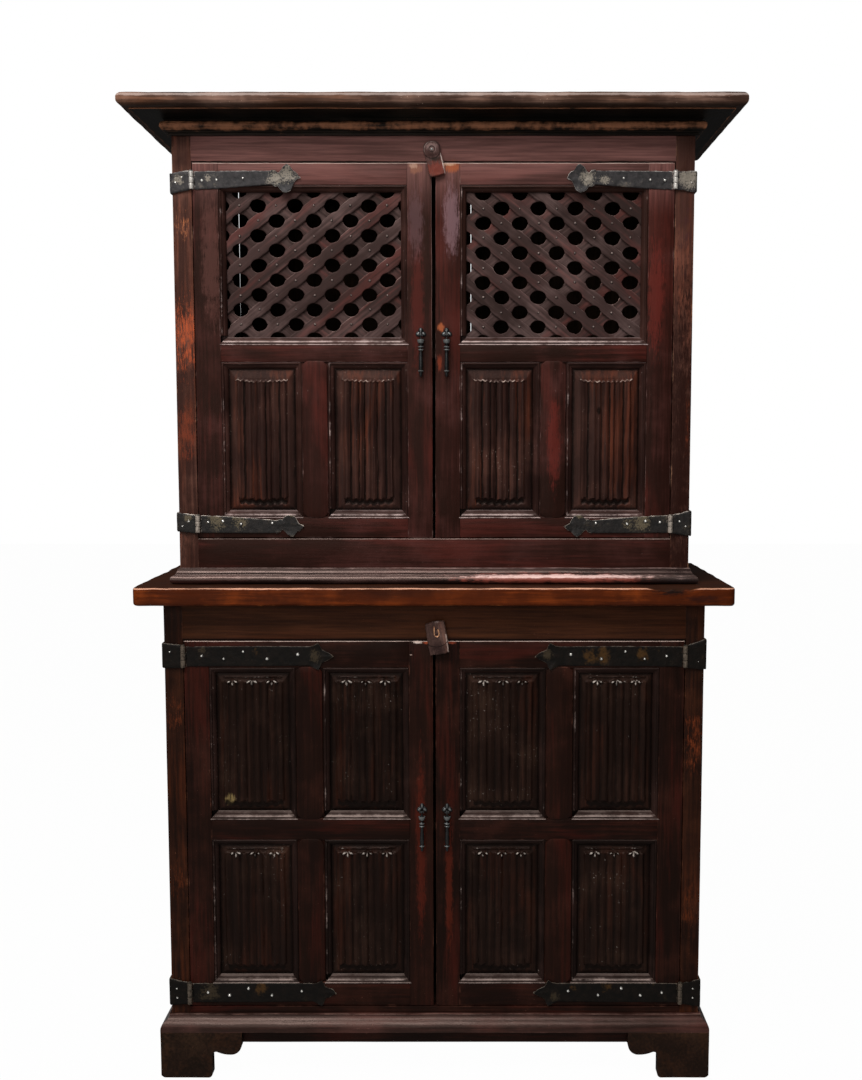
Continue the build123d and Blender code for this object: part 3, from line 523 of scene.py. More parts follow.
def sweep(label, section, stations, closed=False, wear=None, uneven=0.0, seed=0.0):
    """Extrude a closed section through stations.

    Each station is (origin, outward, rise, distance, share of the worn and painted-highlight marks).
    """
    deselect()
    bpy.ops.mesh.primitive_circle_add(vertices=len(section), radius=0.01)
    piece = named(label)
    order = piece.data.attributes.new("order", "INT", "POINT")
    order.data.foreach_set("value", list(range(len(section))))
    step = piece.data.attributes.new("step", "INT", "POINT")
    step.data.foreach_set("value", [0] * len(section))
    bpy.ops.object.mode_set(mode="EDIT")
    for number in range(len(stations)):
        if number:
            bpy.ops.mesh.extrude_region_move()
        mesh = bmesh.from_edit_mesh(piece.data)
        order_layer = mesh.verts.layers.int["order"]
        step_layer = mesh.verts.layers.int["step"]
        origin, outward, rise = stations[number][:3]
        for vert in mesh.verts:
            if vert.select:
                across, up = section[vert[order_layer]]
                vert.co = origin + outward * across + rise * up
                vert[step_layer] = number
        bmesh.update_edit_mesh(piece.data)
    mesh = bmesh.from_edit_mesh(piece.data)
    step_layer = mesh.verts.layers.int["step"]
    ends = (0, len(stations) - 1)
    for edge in mesh.edges:
        numbers = [vert[step_layer] for vert in edge.verts]
        edge.select = numbers[0] == numbers[1] and numbers[0] in ends
    mesh.select_flush_mode()
    bmesh.update_edit_mesh(piece.data)
    bpy.ops.mesh.select_mode(type="EDGE")
    if closed:
        bpy.ops.mesh.bridge_edge_loops()
    else:
        bpy.ops.mesh.edge_face_add()
        bpy.ops.mesh.fill_holes(sides=0)
    bpy.ops.mesh.select_mode(type="VERT")
    face_outwards()
    bpy.ops.object.mode_set(mode="OBJECT")
    orders = np.empty(len(piece.data.vertices), np.int32)
    steps = np.empty(len(piece.data.vertices), np.int32)
    piece.data.attributes["order"].data.foreach_get("value", orders)
    piece.data.attributes["step"].data.foreach_get("value", steps)
    grain = np.zeros((len(orders), 3))
    grain[:, 0] = np.array([station[3] for station in stations])[steps]
    grain[:, 1:] = np.array(section)[orders]
    shares = np.array([station[4] for station in stations])[steps]
    rubbed_and_lit = np.array(wear or [0.0] * len(section))[orders] * shares
    mark_shape(piece, grain, rubbed_and_lit, tone=(seed * 0.37 + 0.21) % 1.0)
    if uneven:
        unevened(piece, uneven)
    return piece


def arc(centre, radii, start, end, count):
    """Points of an elliptic arc between two angles in degrees."""
    points = []
    for index in range(count + 1):
        angle = math.radians(start + (end - start) * index / count)
        points.append((centre[0] + radii[0] * math.cos(angle), centre[1] + radii[1] * math.sin(angle)))
    return points


# ---------------------------------------------------------------- finishes

CHIP_PLACE = 0.482
CHIP_HALF = 0.050
CHIP_DEPTH = 0.010
CHIP_HEIGHT = 0.012
CHIP_REACH = 0.030
MATERIALS = {}
COAL = (9, 6, 5)
GLINT = (196, 172, 160)
RED = (91, 33, 27)
GLOSS_TINT = (1.0, 0.7, 0.6)


def wood(name, dark, mid, light, worn, wear=0.5, edge=0.004, gloss=0.42, relief=0.0006, dust=None,
         patches=(), height_tint=None, ledge=None, warm=None, lines=(), grime=None, specks=0.4, shiny=0.08):
    """Waxed wood with grain along each board, pores, scratches, worn edges, and painted highlights and
    shade.

    patches are (colour, centre, radii, strength); height_tint is (height, height, colour, strength)
    for a tint that grows from the first height to the second; ledge is (colour, strength) for a tint on
    faces that look up, which paints highlights on the mouldings and darkens the slab's top; warm is
    (colour, strength, threshold) for streaks where the stain is thin; lines are (height, half width,
    colour, strength) for painted highlights and painted shadows along level edges; grime is
    the colour of the painted shade in hollows, creases and undercuts.
    """
    dark, mid, light, worn = (paint(shade) for shade in (dark, mid, light, worn))
    finish = Finish(name.capitalize() + " wood")
    grain = finish.attribute("grain")
    tone = finish.attribute("tone", "Fac")
    place = finish.place()
    figure = finish.speckle(finish.stretched(grain, (2.2, 16.0, 16.0), tone), 1.0, 3.0, 0.5, 1.4)
    streak = finish.speckle(finish.stretched(grain, (7.0, 170.0, 170.0), tone), 1.0, 4.0, 0.62)
    fibre = finish.speckle(finish.stretched(grain, (30.0, 900.0, 900.0), tone), 1.0, 2.0, 0.6)
    blot = finish.speckle(place, 9.0, 4.0, 0.6)
    to_edge = finish.vectors("SUBTRACT", finish.attribute("reach"), finish.vectors("ABSOLUTE", grain))
    gaps = finish.split(to_edge)
    near = gaps[0].lower(gaps[1]).higher(gaps[0].higher(gaps[1]).lower(gaps[2]))
    rubbed_and_lit = finish.speckle(finish.stretched(place, (38.0, 38.0, 38.0)), 1.0, 5.0, 0.68)
    broken = finish.speckle(place, 14.0, 3.0, 0.7).ramp(0.47, 0.66)
    fringe = (rubbed_and_lit * 2.0 - 0.62) * edge
    rim = (fringe - near).ramp(-0.0004, 0.0018) * broken
    # The wear attribute marks worn wood and painted highlights alike; both take the worn colour.
    worn_and_lit = finish.attribute("wear", "Fac") + (rubbed_and_lit - 0.5) * 1.5 + (streak - 0.5) * 0.8
    worn_and_lit_mask = rim.higher(worn_and_lit.ramp(0.5, 1.05)) * wear
    upward = finish.split(finish.node("ShaderNodeNewGeometry", output="Normal"))[2]
    shred = finish.speckle(finish.stretched(grain, (60.0, 420.0, 420.0)), 1.0, 4.0, 0.7)
    ripe = figure * 0.6 + streak * 0.34 + blot * 0.26 + (tone - 0.5) * 0.2
    body = finish.blend(ripe.ramp(0.34, 0.92), dark, mid)
    body = finish.blend((streak * 0.45 + blot * 0.8).ramp(0.56, 0.90), body, light)
    if warm:
        glow = finish.speckle(finish.stretched(grain, (2.8, 11.0, 11.0), tone), 1.0, 4.0, 0.6, 0.8)
        thin = (glow * 0.85 + (streak - 0.5) * 0.4 + 0.075).ramp(warm[2] - 0.02, warm[2] + 0.22)
        body = finish.blend(thin * warm[1], body, paint(warm[0]))
    body = finish.blend(fibre.ramp(0.60, 0.72) * 0.32, body, dark)
    # A tint that grows between two heights; on the top board it paints the shade along the lower edge.
    if height_tint:
        height = finish.split(place)[2]
        grown = (streak * 0.8 + figure * 0.6).ramp(0.5, 0.95, 0.35, 1.0)
        body = finish.blend(height.ramp(height_tint[0], height_tint[1]) * grown * height_tint[3], body, paint(height_tint[2]))
    if dust:
        body = finish.blend((fibre * 0.5 + blot * 0.6).ramp(0.6, 0.78) * dust[1], body, paint(dust[0]))
    for shade, centre, radii, strength in patches:
        reach = finish.patch(place, centre, radii)
        torn = reach + (rubbed_and_lit - 0.5) * 1.1 + (shred - 0.5) * 1.7
        body = finish.blend(torn.ramp(0.30, 0.85) * reach.ramp(0.02, 0.35) * strength, body, paint(shade))
    body = finish.blend(worn_and_lit_mask, body, worn)
    # Painted highlights and painted shadows, drawn as lines along level edges on faces that don't look up.
    for height, half, shade, strength in lines:
        off = (finish.split(place)[2] - height).magnitude() / half
        torn = 1.0 - off + (rubbed_and_lit - 0.5) * 1.6 + (blot - 0.5) * 1.2
        mask = torn.ramp(0.05, 0.7) * upward.ramp(0.6, 0.9, 1.0, 0.0)
        body = finish.blend(mask * strength, body, paint(shade))
    # Faces that look up take the ledge tint: a painted highlight on the mouldings, a darker top on the
    # slab.
    if ledge:
        shelf = (upward + (rubbed_and_lit - 0.5) * 0.7 + (streak - 0.5) * 0.6).ramp(0.50, 0.98)
        body = finish.blend(shelf * ledge[1], body, paint(ledge[0]))
    # Painted shade: the hollows, creases and undercuts that the mesh marks are darkened towards the shade
    # colour.
    if grime:
        shade_mask = (finish.attribute("grime", "Fac") + (rubbed_and_lit - 0.5) * 0.7).ramp(0.25, 0.85)
        body = finish.blend(shade_mask * 0.92, body, paint(grime))
    nicks = (finish.speckle(place, 240.0, 2.0, 0.6) + blot * 0.4).ramp(0.93, 0.99)
    body = finish.blend((nicks * specks).higher(shred.ramp(0.68, 0.80) * specks * 0.6), body, worn)
    finish.relief(streak * 0.6 + fibre * 0.35 + rubbed_and_lit * 0.9 + nicks * 0.8, relief)
    rough = (streak * 0.22 + blot * 0.3).ramp(0.1, 0.45, gloss - 0.1, gloss + 0.16)
    MATERIALS[name] = finish.set(
        Base_Color=body, Roughness=rough, Specular_IOR_Level=shiny, Specular_Tint=GLOSS_TINT)


def iron(key, name, dark, mid, crust, rust, shine, crusted=0.25, gloss=0.5, metal=0.3, bright=0.85,
         shiny=0.4):
    """Hammered wrought iron with a dark skin, a pale crust, rust, and bright edges, partly worn by rubbing
    and partly painted highlight.
    """
    dark, mid, crust, rust, shine = (paint(shade) for shade in (dark, mid, crust, rust, shine))
    finish = Finish(name)
    place = finish.place()
    hammer = finish.speckle(place, 95.0, 2.0, 0.45)
    grit = finish.speckle(place, 520.0, 4.0, 0.7)
    scale = finish.speckle(place, 42.0, 5.0, 0.65)
    flake = finish.speckle(place, 210.0, 3.0, 0.6)
    body = finish.blend((hammer * 0.5 + grit * 0.35 + scale * 0.3).ramp(0.42, 0.76), dark, mid)
    body = finish.blend((scale * 0.8 + flake * 0.4).ramp(0.66, 0.84) * crusted, body, crust)
    stained = finish.attribute("rust", "Fac") + (scale - 0.5) * 2.4 + (flake - 0.5) * 1.4
    body = finish.blend(stained.ramp(0.45, 1.15) * 0.65, body, rust)
    # The crust attribute also places a few painted highlight spots in the crust colour.
    crumb = finish.speckle(place, 330.0, 5.0, 0.72)
    spots = finish.attribute("crust", "Fac") + (crumb - 0.5) * 2.6 + (scale - 0.5) * 1.6
    body = finish.blend(spots.ramp(0.55, 0.95) * 0.62, body, crust)
    # Bright edges: rub and painted highlight together, from the wear attribute.
    worn_and_lit = finish.attribute("wear", "Fac") + (flake - 0.5) * 1.0 + (grit - 0.5) * 0.5
    rubbed_and_lit = worn_and_lit.ramp(0.42, 0.86)
    body = finish.blend(rubbed_and_lit * bright, body, shine)
    finish.relief(hammer * 1.0 + flake * 0.5 + scale * 0.25, 0.0010)
    rough = (grit * 0.6 + rubbed_and_lit * -0.2 + 0.1).ramp(0.1, 0.6, gloss - 0.14, gloss + 0.15)
    MATERIALS[key] = finish.set(
        Base_Color=body, Roughness=rough, Metallic=metal, Specular_IOR_Level=shiny)


def on_face(y, *rows):
    """Patches on a face at y; a row is (colour, x, z, radii, strength)."""
    return tuple((shade, (x, y, z), radii, strength) for shade, x, z, radii, strength in rows)


def upper_finishes():
    """Every wood of the upper stage, by its plain name."""
    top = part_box("door_upper_left_stiles")[1][2]
    rails = islands_boxes("upper_front_rails")
    lintel = max(low[2] for low, high in rails)
    sill_top = min(high[2] for low, high in rails)
    board_low, board_top = (corner[2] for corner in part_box("top_board"))
    wood("upper frame", (26, 13, 9), "upper_frame", (61, 32, 28), (126, 98, 92), wear=0.6,
         # The upper frame turns paler and pinker towards the top.
         dust=((77, 53, 52), 0.2), height_tint=(1.77, 1.965, (142, 98, 92), 0.9), warm=((80, 31, 25), 0.45, 0.50),
         # Painted light in lines: highlights (GLINT) on the doors' top edges and on the bottom rail's top,
         # and a painted shadow (COAL) in the gap above the doors.
         lines=((top - 0.0009, 0.0011, GLINT, 0.8), (lintel + 0.0008, 0.0013, COAL, 0.95),
                (sill_top - 0.0008, 0.0009, GLINT, 0.4)),
         patches=on_face(
             -0.154,
             (RED, 0.447, 1.62, (0.034, 0.05, 0.22), 0.6),
             ("bare_wood", 0.036, top - 0.008, (0.032, 0.05, 0.020), 0.85),
             ((188, 150, 124), 0.028, top - 0.003, (0.028, 0.05, 0.006), 0.7),
             ((128, 84, 66), -0.036, top - 0.010, (0.026, 0.05, 0.022), 0.75),
             ((176, 140, 120), -0.040, top - 0.006, (0.016, 0.05, 0.010), 0.6),
             (RED, -0.032, 1.60, (0.024, 0.05, 0.24), 0.35),
             # Painted sheen: pale purplish patches on the meeting stiles and a pinkish one on the left
             # stile.
             ((118, 90, 94), 0.036, 1.780, (0.032, 0.05, 0.13), 0.6),
             ((92, 68, 70), -0.036, 1.770, (0.030, 0.05, 0.13), 0.4),
             ((92, 58, 52), -0.447, 1.700, (0.040, 0.05, 0.24), 0.4),
             ("bare_wood", 0.014, 1.562, (0.011, 0.05, 0.018), 0.8),
             ((121, 52, 33), 0.012, 1.488, (0.010, 0.05, 0.034), 0.6),
             (RED, 0.244, 1.33, (0.026, 0.05, 0.17), 0.6)))
    wood("upper post", (40, 22, 18), "upper_post", (97, 63, 52), (160, 116, 90), wear=0.6,
         warm=((121, 59, 37), 0.45, 0.50),
         patches=on_face(
             -0.12,
             ((33, 15, 11), 0.503, 1.28, (0.09, 0.16, 0.80), 1.0),
             ((186, 112, 72), -0.503, 1.765, (0.05, 0.06, 0.085), 0.8),
             ((154, 70, 40), -0.503, 1.545, (0.06, 0.08, 0.170), 0.95),
             ((108, 48, 30), -0.503, 1.350, (0.06, 0.08, 0.120), 0.75),
             ((40, 24, 19), -0.503, 1.150, (0.06, 0.08, 0.130), 0.9),
             ((104, 48, 29), 0.515, 1.360, (0.012, 0.06, 0.260), 0.6),
             ((63, 35, 35), 0.503, 1.760, (0.05, 0.06, 0.240), 0.7)))
    # The worn colour also paints the highlights on the carved heads; the coal colour paints the shade in
    # the hollows.
    wood("upper panel", (27, 15, 13), "upper_panel", (65, 40, 33), (176, 154, 142), wear=0.75,
         dust=((82, 61, 52), 0.18), warm=((95, 44, 25), 0.5, 0.50), grime=COAL, gloss=0.36,
         patches=on_face(-0.150, ((14, 9, 7), 0.336, 1.395, (0.010, 0.05, 0.014), 0.95)))
    wood("cornice", (11, 11, 9), "cornice", (36, 31, 27), (140, 92, 66), wear=0.9, relief=0.0005,
         warm=((76, 48, 29), 0.25, 0.58))
    wood("waist moulding", (19, 13, 12), (35, 23, 21), (60, 41, 38), (150, 124, 118), wear=0.4,
         relief=0.0004, gloss=0.30, shiny=0.5, warm=((100, 48, 40), 0.35, 0.52),
         # A painted highlight on the torus's upward faces.
         ledge=((150, 124, 116), 0.22),
         patches=on_face(
             -0.172,
             ((128, 62, 50), 0.24, 1.0540, (0.36, 0.05, 0.020), 0.85),
             ((24, 20, 20), 0.50, 1.0500, (0.090, 0.05, 0.030), 0.8),
             # A painted highlight: a thin pale line along the right half of the torus.
             ((216, 182, 174), 0.26, 1.0578, (0.36, 0.05, 0.0065), 0.95)))
    # Its worn colour and its ledge tint paint the highlights on the sticking and the sills.
    wood("upper moulding", (27, 15, 13), (44, 26, 21), (65, 41, 36), (186, 164, 158), wear=0.75,
         relief=0.0004, ledge=((150, 130, 126), 0.3))
    # The worn colour paints the glints on the slats' edges; the last colour paints the shadow along them.
    wood("lattice", (36, 26, 24), "lattice", (87, 70, 67), (150, 128, 120), wear=0.7, gloss=0.5,
         warm=((91, 42, 37), 0.5, 0.50), specks=0.3, grime=(22, 13, 11))
    wood("top board", (42, 28, 22), (78, 55, 44), (121, 93, 80), (176, 150, 132), wear=0.75, edge=0.005,
         warm=((112, 70, 44), 0.5, 0.52), specks=0.7,
         # Painted shade along the board's lower edge.
         height_tint=(board_low + 0.007, board_low + 0.002, (22, 17, 14), 1.0),
         # A painted highlight along the board's nose.
         lines=((board_top - 0.006, 0.004, (176, 160, 152), 0.4),))
    wood("upper button", (50, 33, 30), (93, 67, 63), (125, 100, 95), (206, 186, 176), wear=0.8,
         # The coal colour paints the shade round the nail and under the head.
         relief=0.0012, grime=COAL,
         patches=on_face(
             -0.165,
             ((150, 122, 116), -0.003, 1.914, (0.022, 0.03, 0.020), 0.7),
             ((33, 29, 25), 0.005, 1.892, (0.024, 0.03, 0.010), 0.85),
             ((104, 50, 41), 0.008, 1.872, (0.040, 0.03, 0.034), 0.9)))


def lower_finishes():
    """Every wood of the slab, the lower stage and the inside, by its plain name."""
    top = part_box("door_lower_left_stiles")[1][2]
    lintel = max(low[2] for low, high in islands_boxes("lower_front_rails"))
    slab_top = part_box("waist_slab")[1][2]
    base_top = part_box("base_mouldings")[1][2]
    wood("slab", (42, 16, 6), "slab", (119, 52, 16), (160, 92, 44), wear=0.8, edge=0.006,
         # Faces that look up are darkened through the ledge tint; the line below paints a highlight along
         # the top edge of the slab's front.
         warm=((34, 15, 9), 0.8, 0.50), ledge=((44, 26, 18), 0.9),
         lines=((slab_top - 0.0022, 0.0024, (206, 152, 124), 0.95),),
         patches=on_face(
             -0.229,
             ((22, 14, 12), CHIP_PLACE, slab_top - 0.006, (0.075, 0.04, 0.022), 1.0),
             ((40, 17, 12), 0.545, slab_top - 0.024, (0.080, 0.05, 0.016), 0.85),
             ((52, 20, 10), 0.40, slab_top - 0.030, (0.070, 0.05, 0.012), 0.6)))
    wood("lower frame", (17, 8, 6), "lower_frame", (46, 22, 16), (100, 61, 48), wear=0.5,
         dust=((53, 36, 29), 0.12), height_tint=(0.926, 0.934, (78, 44, 25), 0.75), warm=((61, 19, 13), 0.5, 0.50),
         # A painted highlight (GLINT) on the doors' top edges and a painted shadow (COAL) in the gap above
         # the doors.
         lines=((top - 0.0009, 0.0011, GLINT, 0.8), (lintel + 0.0008, 0.0013, COAL, 0.95)),
         patches=on_face(
             -0.172,
             ((206, 184, 172), -0.034, top - 0.003, (0.020, 0.05, 0.006), 0.85),
             ((150, 70, 44), -0.016, top - 0.004, (0.016, 0.05, 0.006), 0.85),
             ((120, 52, 34), 0.033, top - 0.004, (0.020, 0.05, 0.006), 0.85),
             (COAL, -0.048, top - 0.0242, (0.006, 0.05, 0.007), 1.0),
             ((150, 130, 118), -0.048, top - 0.0290, (0.007, 0.05, 0.003), 0.85),
             ((82, 27, 16), -0.028, 0.50, (0.020, 0.05, 0.36), 0.5),
             ((87, 31, 18), 0.030, 0.42, (0.016, 0.05, 0.30), 0.5)))
    wood("lower post", (18, 9, 6), "lower_post", (55, 28, 16), (112, 67, 44), wear=0.45,
         warm=((78, 35, 16), 0.45, 0.50),
         patches=on_face(
             -0.14,
             ((108, 50, 25), -0.535, 0.78, (0.05, 0.06, 0.100), 0.6),
             ((104, 48, 22), -0.535, 0.42, (0.05, 0.06, 0.120), 0.5),
             ((121, 55, 27), 0.535, 0.72, (0.05, 0.06, 0.160), 0.7),
             ((104, 48, 22), 0.535, 0.36, (0.05, 0.06, 0.130), 0.5)))
    wood("base moulding", (20, 11, 8), (38, 21, 17), (68, 40, 35), (124, 90, 80), wear=0.35, relief=0.0004,
         gloss=0.32, shiny=0.3, warm=((78, 37, 29), 0.4, 0.50),
         # A painted highlight along the top of the moulding.
         lines=((base_top - 0.0006, 0.0008, (160, 134, 122), 0.6),))
    wood("feet", (19, 13, 9), (35, 22, 16), (48, 32, 22), (91, 59, 42), wear=0.45,
         dust=((52, 40, 29), 0.2), warm=((57, 33, 19), 0.4, 0.50))
    # The coal colour paints the shade in the hollows and round the petals.
    wood("lower panel", (16, 9, 7), "lower_panel", (42, 27, 21), (188, 176, 166), wear=0.85,
         dust=((76, 61, 46), 0.2), warm=((55, 25, 15), 0.45, 0.50), grime=COAL, gloss=0.36,
         patches=on_face(-0.166, ((132, 112, 72), -0.425, 0.59, (0.020, 0.05, 0.022), 0.7)))
    # Its worn colour and its ledge tint paint the highlights on the sticking and the sills.
    wood("lower moulding", (17, 11, 9), (30, 18, 15), (46, 30, 26), (166, 146, 138), wear=0.7,
         ledge=((140, 122, 114), 0.3))
    wood("lower button", (44, 31, 28), (85, 63, 57), (121, 97, 89), (172, 150, 140), wear=0.7,
         # The coal colour paints the shade round the nail and under the head.
         relief=0.0014, warm=((119, 70, 50), 0.5, 0.5), grime=COAL,
         patches=on_face(
             -0.185,
             ((140, 124, 118), 0.002, 0.968, (0.020, 0.03, 0.006), 0.8),
             ((40, 27, 26), 0.010, 0.912, (0.030, 0.03, 0.026), 0.8)))
    wood("inside", (27, 18, 13), (44, 31, 22), (61, 46, 33), (76, 59, 44), wear=0.3, gloss=0.75)


def iron_finishes():
    """Every iron of the cabinet, by its plain name."""
    iron("upper iron", "Upper wrought iron", (24, 22, 22), "upper_iron", (140, 130, 116), (95, 57, 34),
         (190, 184, 176), shiny=0.3)
    iron("middle iron", "Middle wrought iron", (14, 12, 10), "middle_iron", (104, 92, 70), (79, 45, 23),
         (160, 148, 136), metal=0.15, shiny=0.25)
    iron("lower iron", "Lower wrought iron", (8, 6, 4), "lower_iron", (58, 48, 34), (72, 48, 20),
         (104, 92, 80), crusted=0.15, bright=0.6, metal=0.0, shiny=0.10)
    iron("pull iron", "Pull iron", (9, 9, 9), (20, 20, 20), (52, 52, 50), (70, 40, 28), (112, 114, 112),
         crusted=0.1, gloss=0.4, metal=0.25, bright=0.6)
    iron("nail", "Nail iron", (40, 37, 35), "nail", (120, 112, 100), (90, 56, 40), (226, 222, 214),
         crusted=0.1, gloss=0.3, metal=0.4, bright=0.8)
    iron("prong", "Rusty prong", (70, 34, 24), (120, 62, 42), (150, 110, 84), (150, 76, 44),
         (214, 160, 120), gloss=0.4)
    iron("lattice nail", "Lattice nail iron", (24, 18, 17), (50, 40, 38), (90, 84, 74), (70, 36, 30),
         (150, 130, 120), crusted=0.1, bright=0.45)


# ---------------------------------------------------------------- case

def worn_boards(node, material, body, bevel=None, uneven=0.0003, cuts=((0, 0.06), (2, 0.06)),
                segments=2, ease=None):
    """A CAD node's boards with eased, slightly wavy edges, each with its own grain."""
    piece = copied(node, node + ".worn")
    if ease:
        ease(piece)
    width = sizes().board_edge if bevel is None else bevel
    if width:
        rounded(piece, width, segments)
    for axis, step in cuts:
        sliced(piece, axis, step)
    if uneven:
        unevened(piece, uneven)
    mark_boards(piece, len(node))
    return dressed(piece, material, body, (node,))


def chipped(piece):
    """Tear a hollow out of the front top edge of the slab."""
    points = points_of(piece)
    front, top = points[:, 1].min(), points[:, 2].max()
    along = np.clip(1 - ((points[:, 0] - CHIP_PLACE) / CHIP_HALF) ** 2, 0, 1)
    high = np.clip(1 - (top - points[:, 2]) / CHIP_HEIGHT, 0, 1)
    near = high * np.clip(1 - (points[:, 1] - front) / CHIP_REACH, 0, 1)
    ragged = np.array([0.75 + 0.9 * noise.noise(Vector(point) * 70.0) for point in points])
    points[:, 2] -= CHIP_DEPTH * along * near * ragged
    move_points(piece, points)


OPEN_JOINT = 0.0774
OPEN_JOINT_WIDTH = 0.0015
SLIT_SHIFT = 0.009
SLIT_TAPER = (0.0036, -0.0002)
BOARD_END = 0.001


def part_back_boards(piece):
    """Taper the open joint at the left of the back, and open the one at the right lattice a hair."""
    points = points_of(piece)
    numbers = islands(piece)
    spans = sorted((points[numbers == number, 0].min(), points[numbers == number, 0].max(), number)
                   for number in range(numbers.max() + 1))
    low = points[:, 2] < points[:, 2].mean()
    for (_, end, number), (start, _, following) in zip(spans, spans[1:]):
        at_end = (numbers == number) & (points[:, 0] > end - BOARD_END)
        at_start = (numbers == following) & (points[:, 0] < start + BOARD_END)
        if start - end > BOARD_END:
            points[at_end, 0] += SLIT_SHIFT + np.where(low[at_end], *SLIT_TAPER)
            points[at_start, 0] += SLIT_SHIFT
        elif abs(end) < 0.05:
            points[at_end, 0] = OPEN_JOINT - OPEN_JOINT_WIDTH / 2
            points[at_start, 0] = OPEN_JOINT + OPEN_JOINT_WIDTH / 2
    move_points(piece, points)


def build_case():
    """Posts, rails, panels, back boards, floors and shelves."""
    for stage in ("upper", "lower"):
        worn_boards(stage + "_posts", stage + " post", "case")
        for kind in ("front_rails", "side_rails", "side_panels"):
            worn_boards(f"{stage}_{kind}", stage + " frame", "case")
    for node in ("upper_back_boards", "upper_floor", "upper_shelf", "lower_back_boards", "lower_floor",
                 "lower_shelf", "shelf_cleats"):
        ease = part_back_boards if node == "upper_back_boards" else None
        worn_boards(node, "inside", "case", bevel=0.0008, cuts=(), uneven=0.0, ease=ease)


PATH_STEP = 0.03
WORN = 1.0


def side_stations(start, end, heading, rise, distance, margin, wear):
    """Stations along one side of a path, clear of its mitres."""
    length = (end - start).length
    count = max(2, int((length - 2 * margin) / PATH_STEP))
    stations = []
    for number in range(count + 1):
        share = (margin + (length - 2 * margin) * number / count) / length
        stations.append((start.lerp(end, share), heading, rise, distance + length * share, wear))
    return stations


def case_path(posts, reach):
    """Stations round the left side, front and right side of a case, with mitred corners."""
    low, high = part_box(posts)
    half, front, back = high[0], low[1], high[1]
    corners = [
        (Vector((-half, back, 0)), Vector((-1, 0, 0))),
        (Vector((-half, front, 0)), Vector((-1, -1, 0))),
        (Vector((half, front, 0)), Vector((1, -1, 0))),
        (Vector((half, back, 0)), Vector((1, 0, 0))),
    ]
    sides = [Vector((-1, 0, 0)), Vector((0, -1, 0)), Vector((1, 0, 0))]
    rise = Vector((0, 0, 1))
    stations = []
    distance = 0.0
    for (start, first), (end, last), side in zip(corners, corners[1:], sides):
        stations.append((start, first, rise, distance, WORN))
        stations += side_stations(start, end, side, rise, distance, reach * 1.3, WORN)
        distance += (end - start).length
    stations.append((end, last, rise, distance, WORN))
    return stations


def moulding(label, node, section, wear, posts, reach, uneven, seed=0.0):
    """A moulding round three sides of the case, in place of a CAD node."""
    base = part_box(node)[0][2]
    lifted = [(across, up + base) for across, up in section]
    piece = sweep(label, lifted, case_path(posts, reach), wear=wear, uneven=uneven, seed=seed)
    dressed(piece, label.replace("_", " "), "case", (node,))


SLAB_CUTS = ((0, 0.01), (1, 0.01))
BACK_EDGE = 0.004


def build_crown():
    """Top board and cornice."""
    board = worn_boards("top_board", "top board", "case", bevel=0.0, uneven=0.0,
                        cuts=((0, 0.02), (1, 0.02)))
    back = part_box("top_board")[1][1] - BACK_EDGE
    unevened(board, 0.0011, 0.035, keep=lambda point: point[1] > back)
    held_inside(board, "top_board")
    low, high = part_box("cornice_mouldings")
    height = high[2] - low[2]
    torus = arc((0.010, 0.0170), (0.0095, 0.0098), -90, 90, 10)
    cove = arc((0.066, 0.029), (0.054, 0.0075), 180, 95, 12)
    section = [(0.0, 0.0), (0.006, 0.0), (0.006, 0.0040), (0.009, 0.0048), *torus, *cove,
               (0.066, height - 0.002), (0.066, height), (0.0, height)]
    bulge = [0.35 + 0.50 * math.sin(math.pi * index / 10) for index in range(11)]
    wear = [0.0, 0.1, 0.3, 0.2, *bulge, *([0.0] * len(cove)), 0.9, 0.9, 0.0]
    moulding("cornice", "cornice_mouldings", section, wear, "upper_posts", 0.066, 0.0007)


def build_waist():
    """Waist moulding and slab."""
    torus = arc((0.0085, 0.0095), (0.0093, 0.0093), -90, 90, 12)
    section = [(0.0, 0.0), *torus, (0.008, 0.0195), (0.008, 0.0225), (0.006, 0.0245), (0.0045, 0.0275),
               (0.0045, 0.031), (0.002, 0.033), (0.0, 0.033)]
    # A pale band just above the torus's front: partly rub, partly painted highlight.
    shoulder = [0.05 + 0.6 * math.exp(-((index - 7.5) / 1.6) ** 2) for index in range(13)]
    wear = [0.0, *shoulder, 0.2, 0.4, 0.1, 0.1, 0.5, 0.8, 0.0]
    moulding("waist_moulding", "waist_mouldings", section, wear, "upper_posts", 0.018,
             0.0008, 1.0)
    slab = worn_boards("waist_slab", "slab", "case", bevel=0.0, uneven=0.0, cuts=SLAB_CUTS)
    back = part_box("waist_slab")[1][1] - BACK_EDGE
    unevened(slab, sizes().wave, 0.04, keep=lambda point: point[1] > back)
    chipped(slab)
    held_inside(slab, "waist_slab")


FLOOR_MARGIN = 0.001
FOOT_CORNER = 0.012
FOOT_LENGTH = 0.06
SIDE_WEAR = 0.003


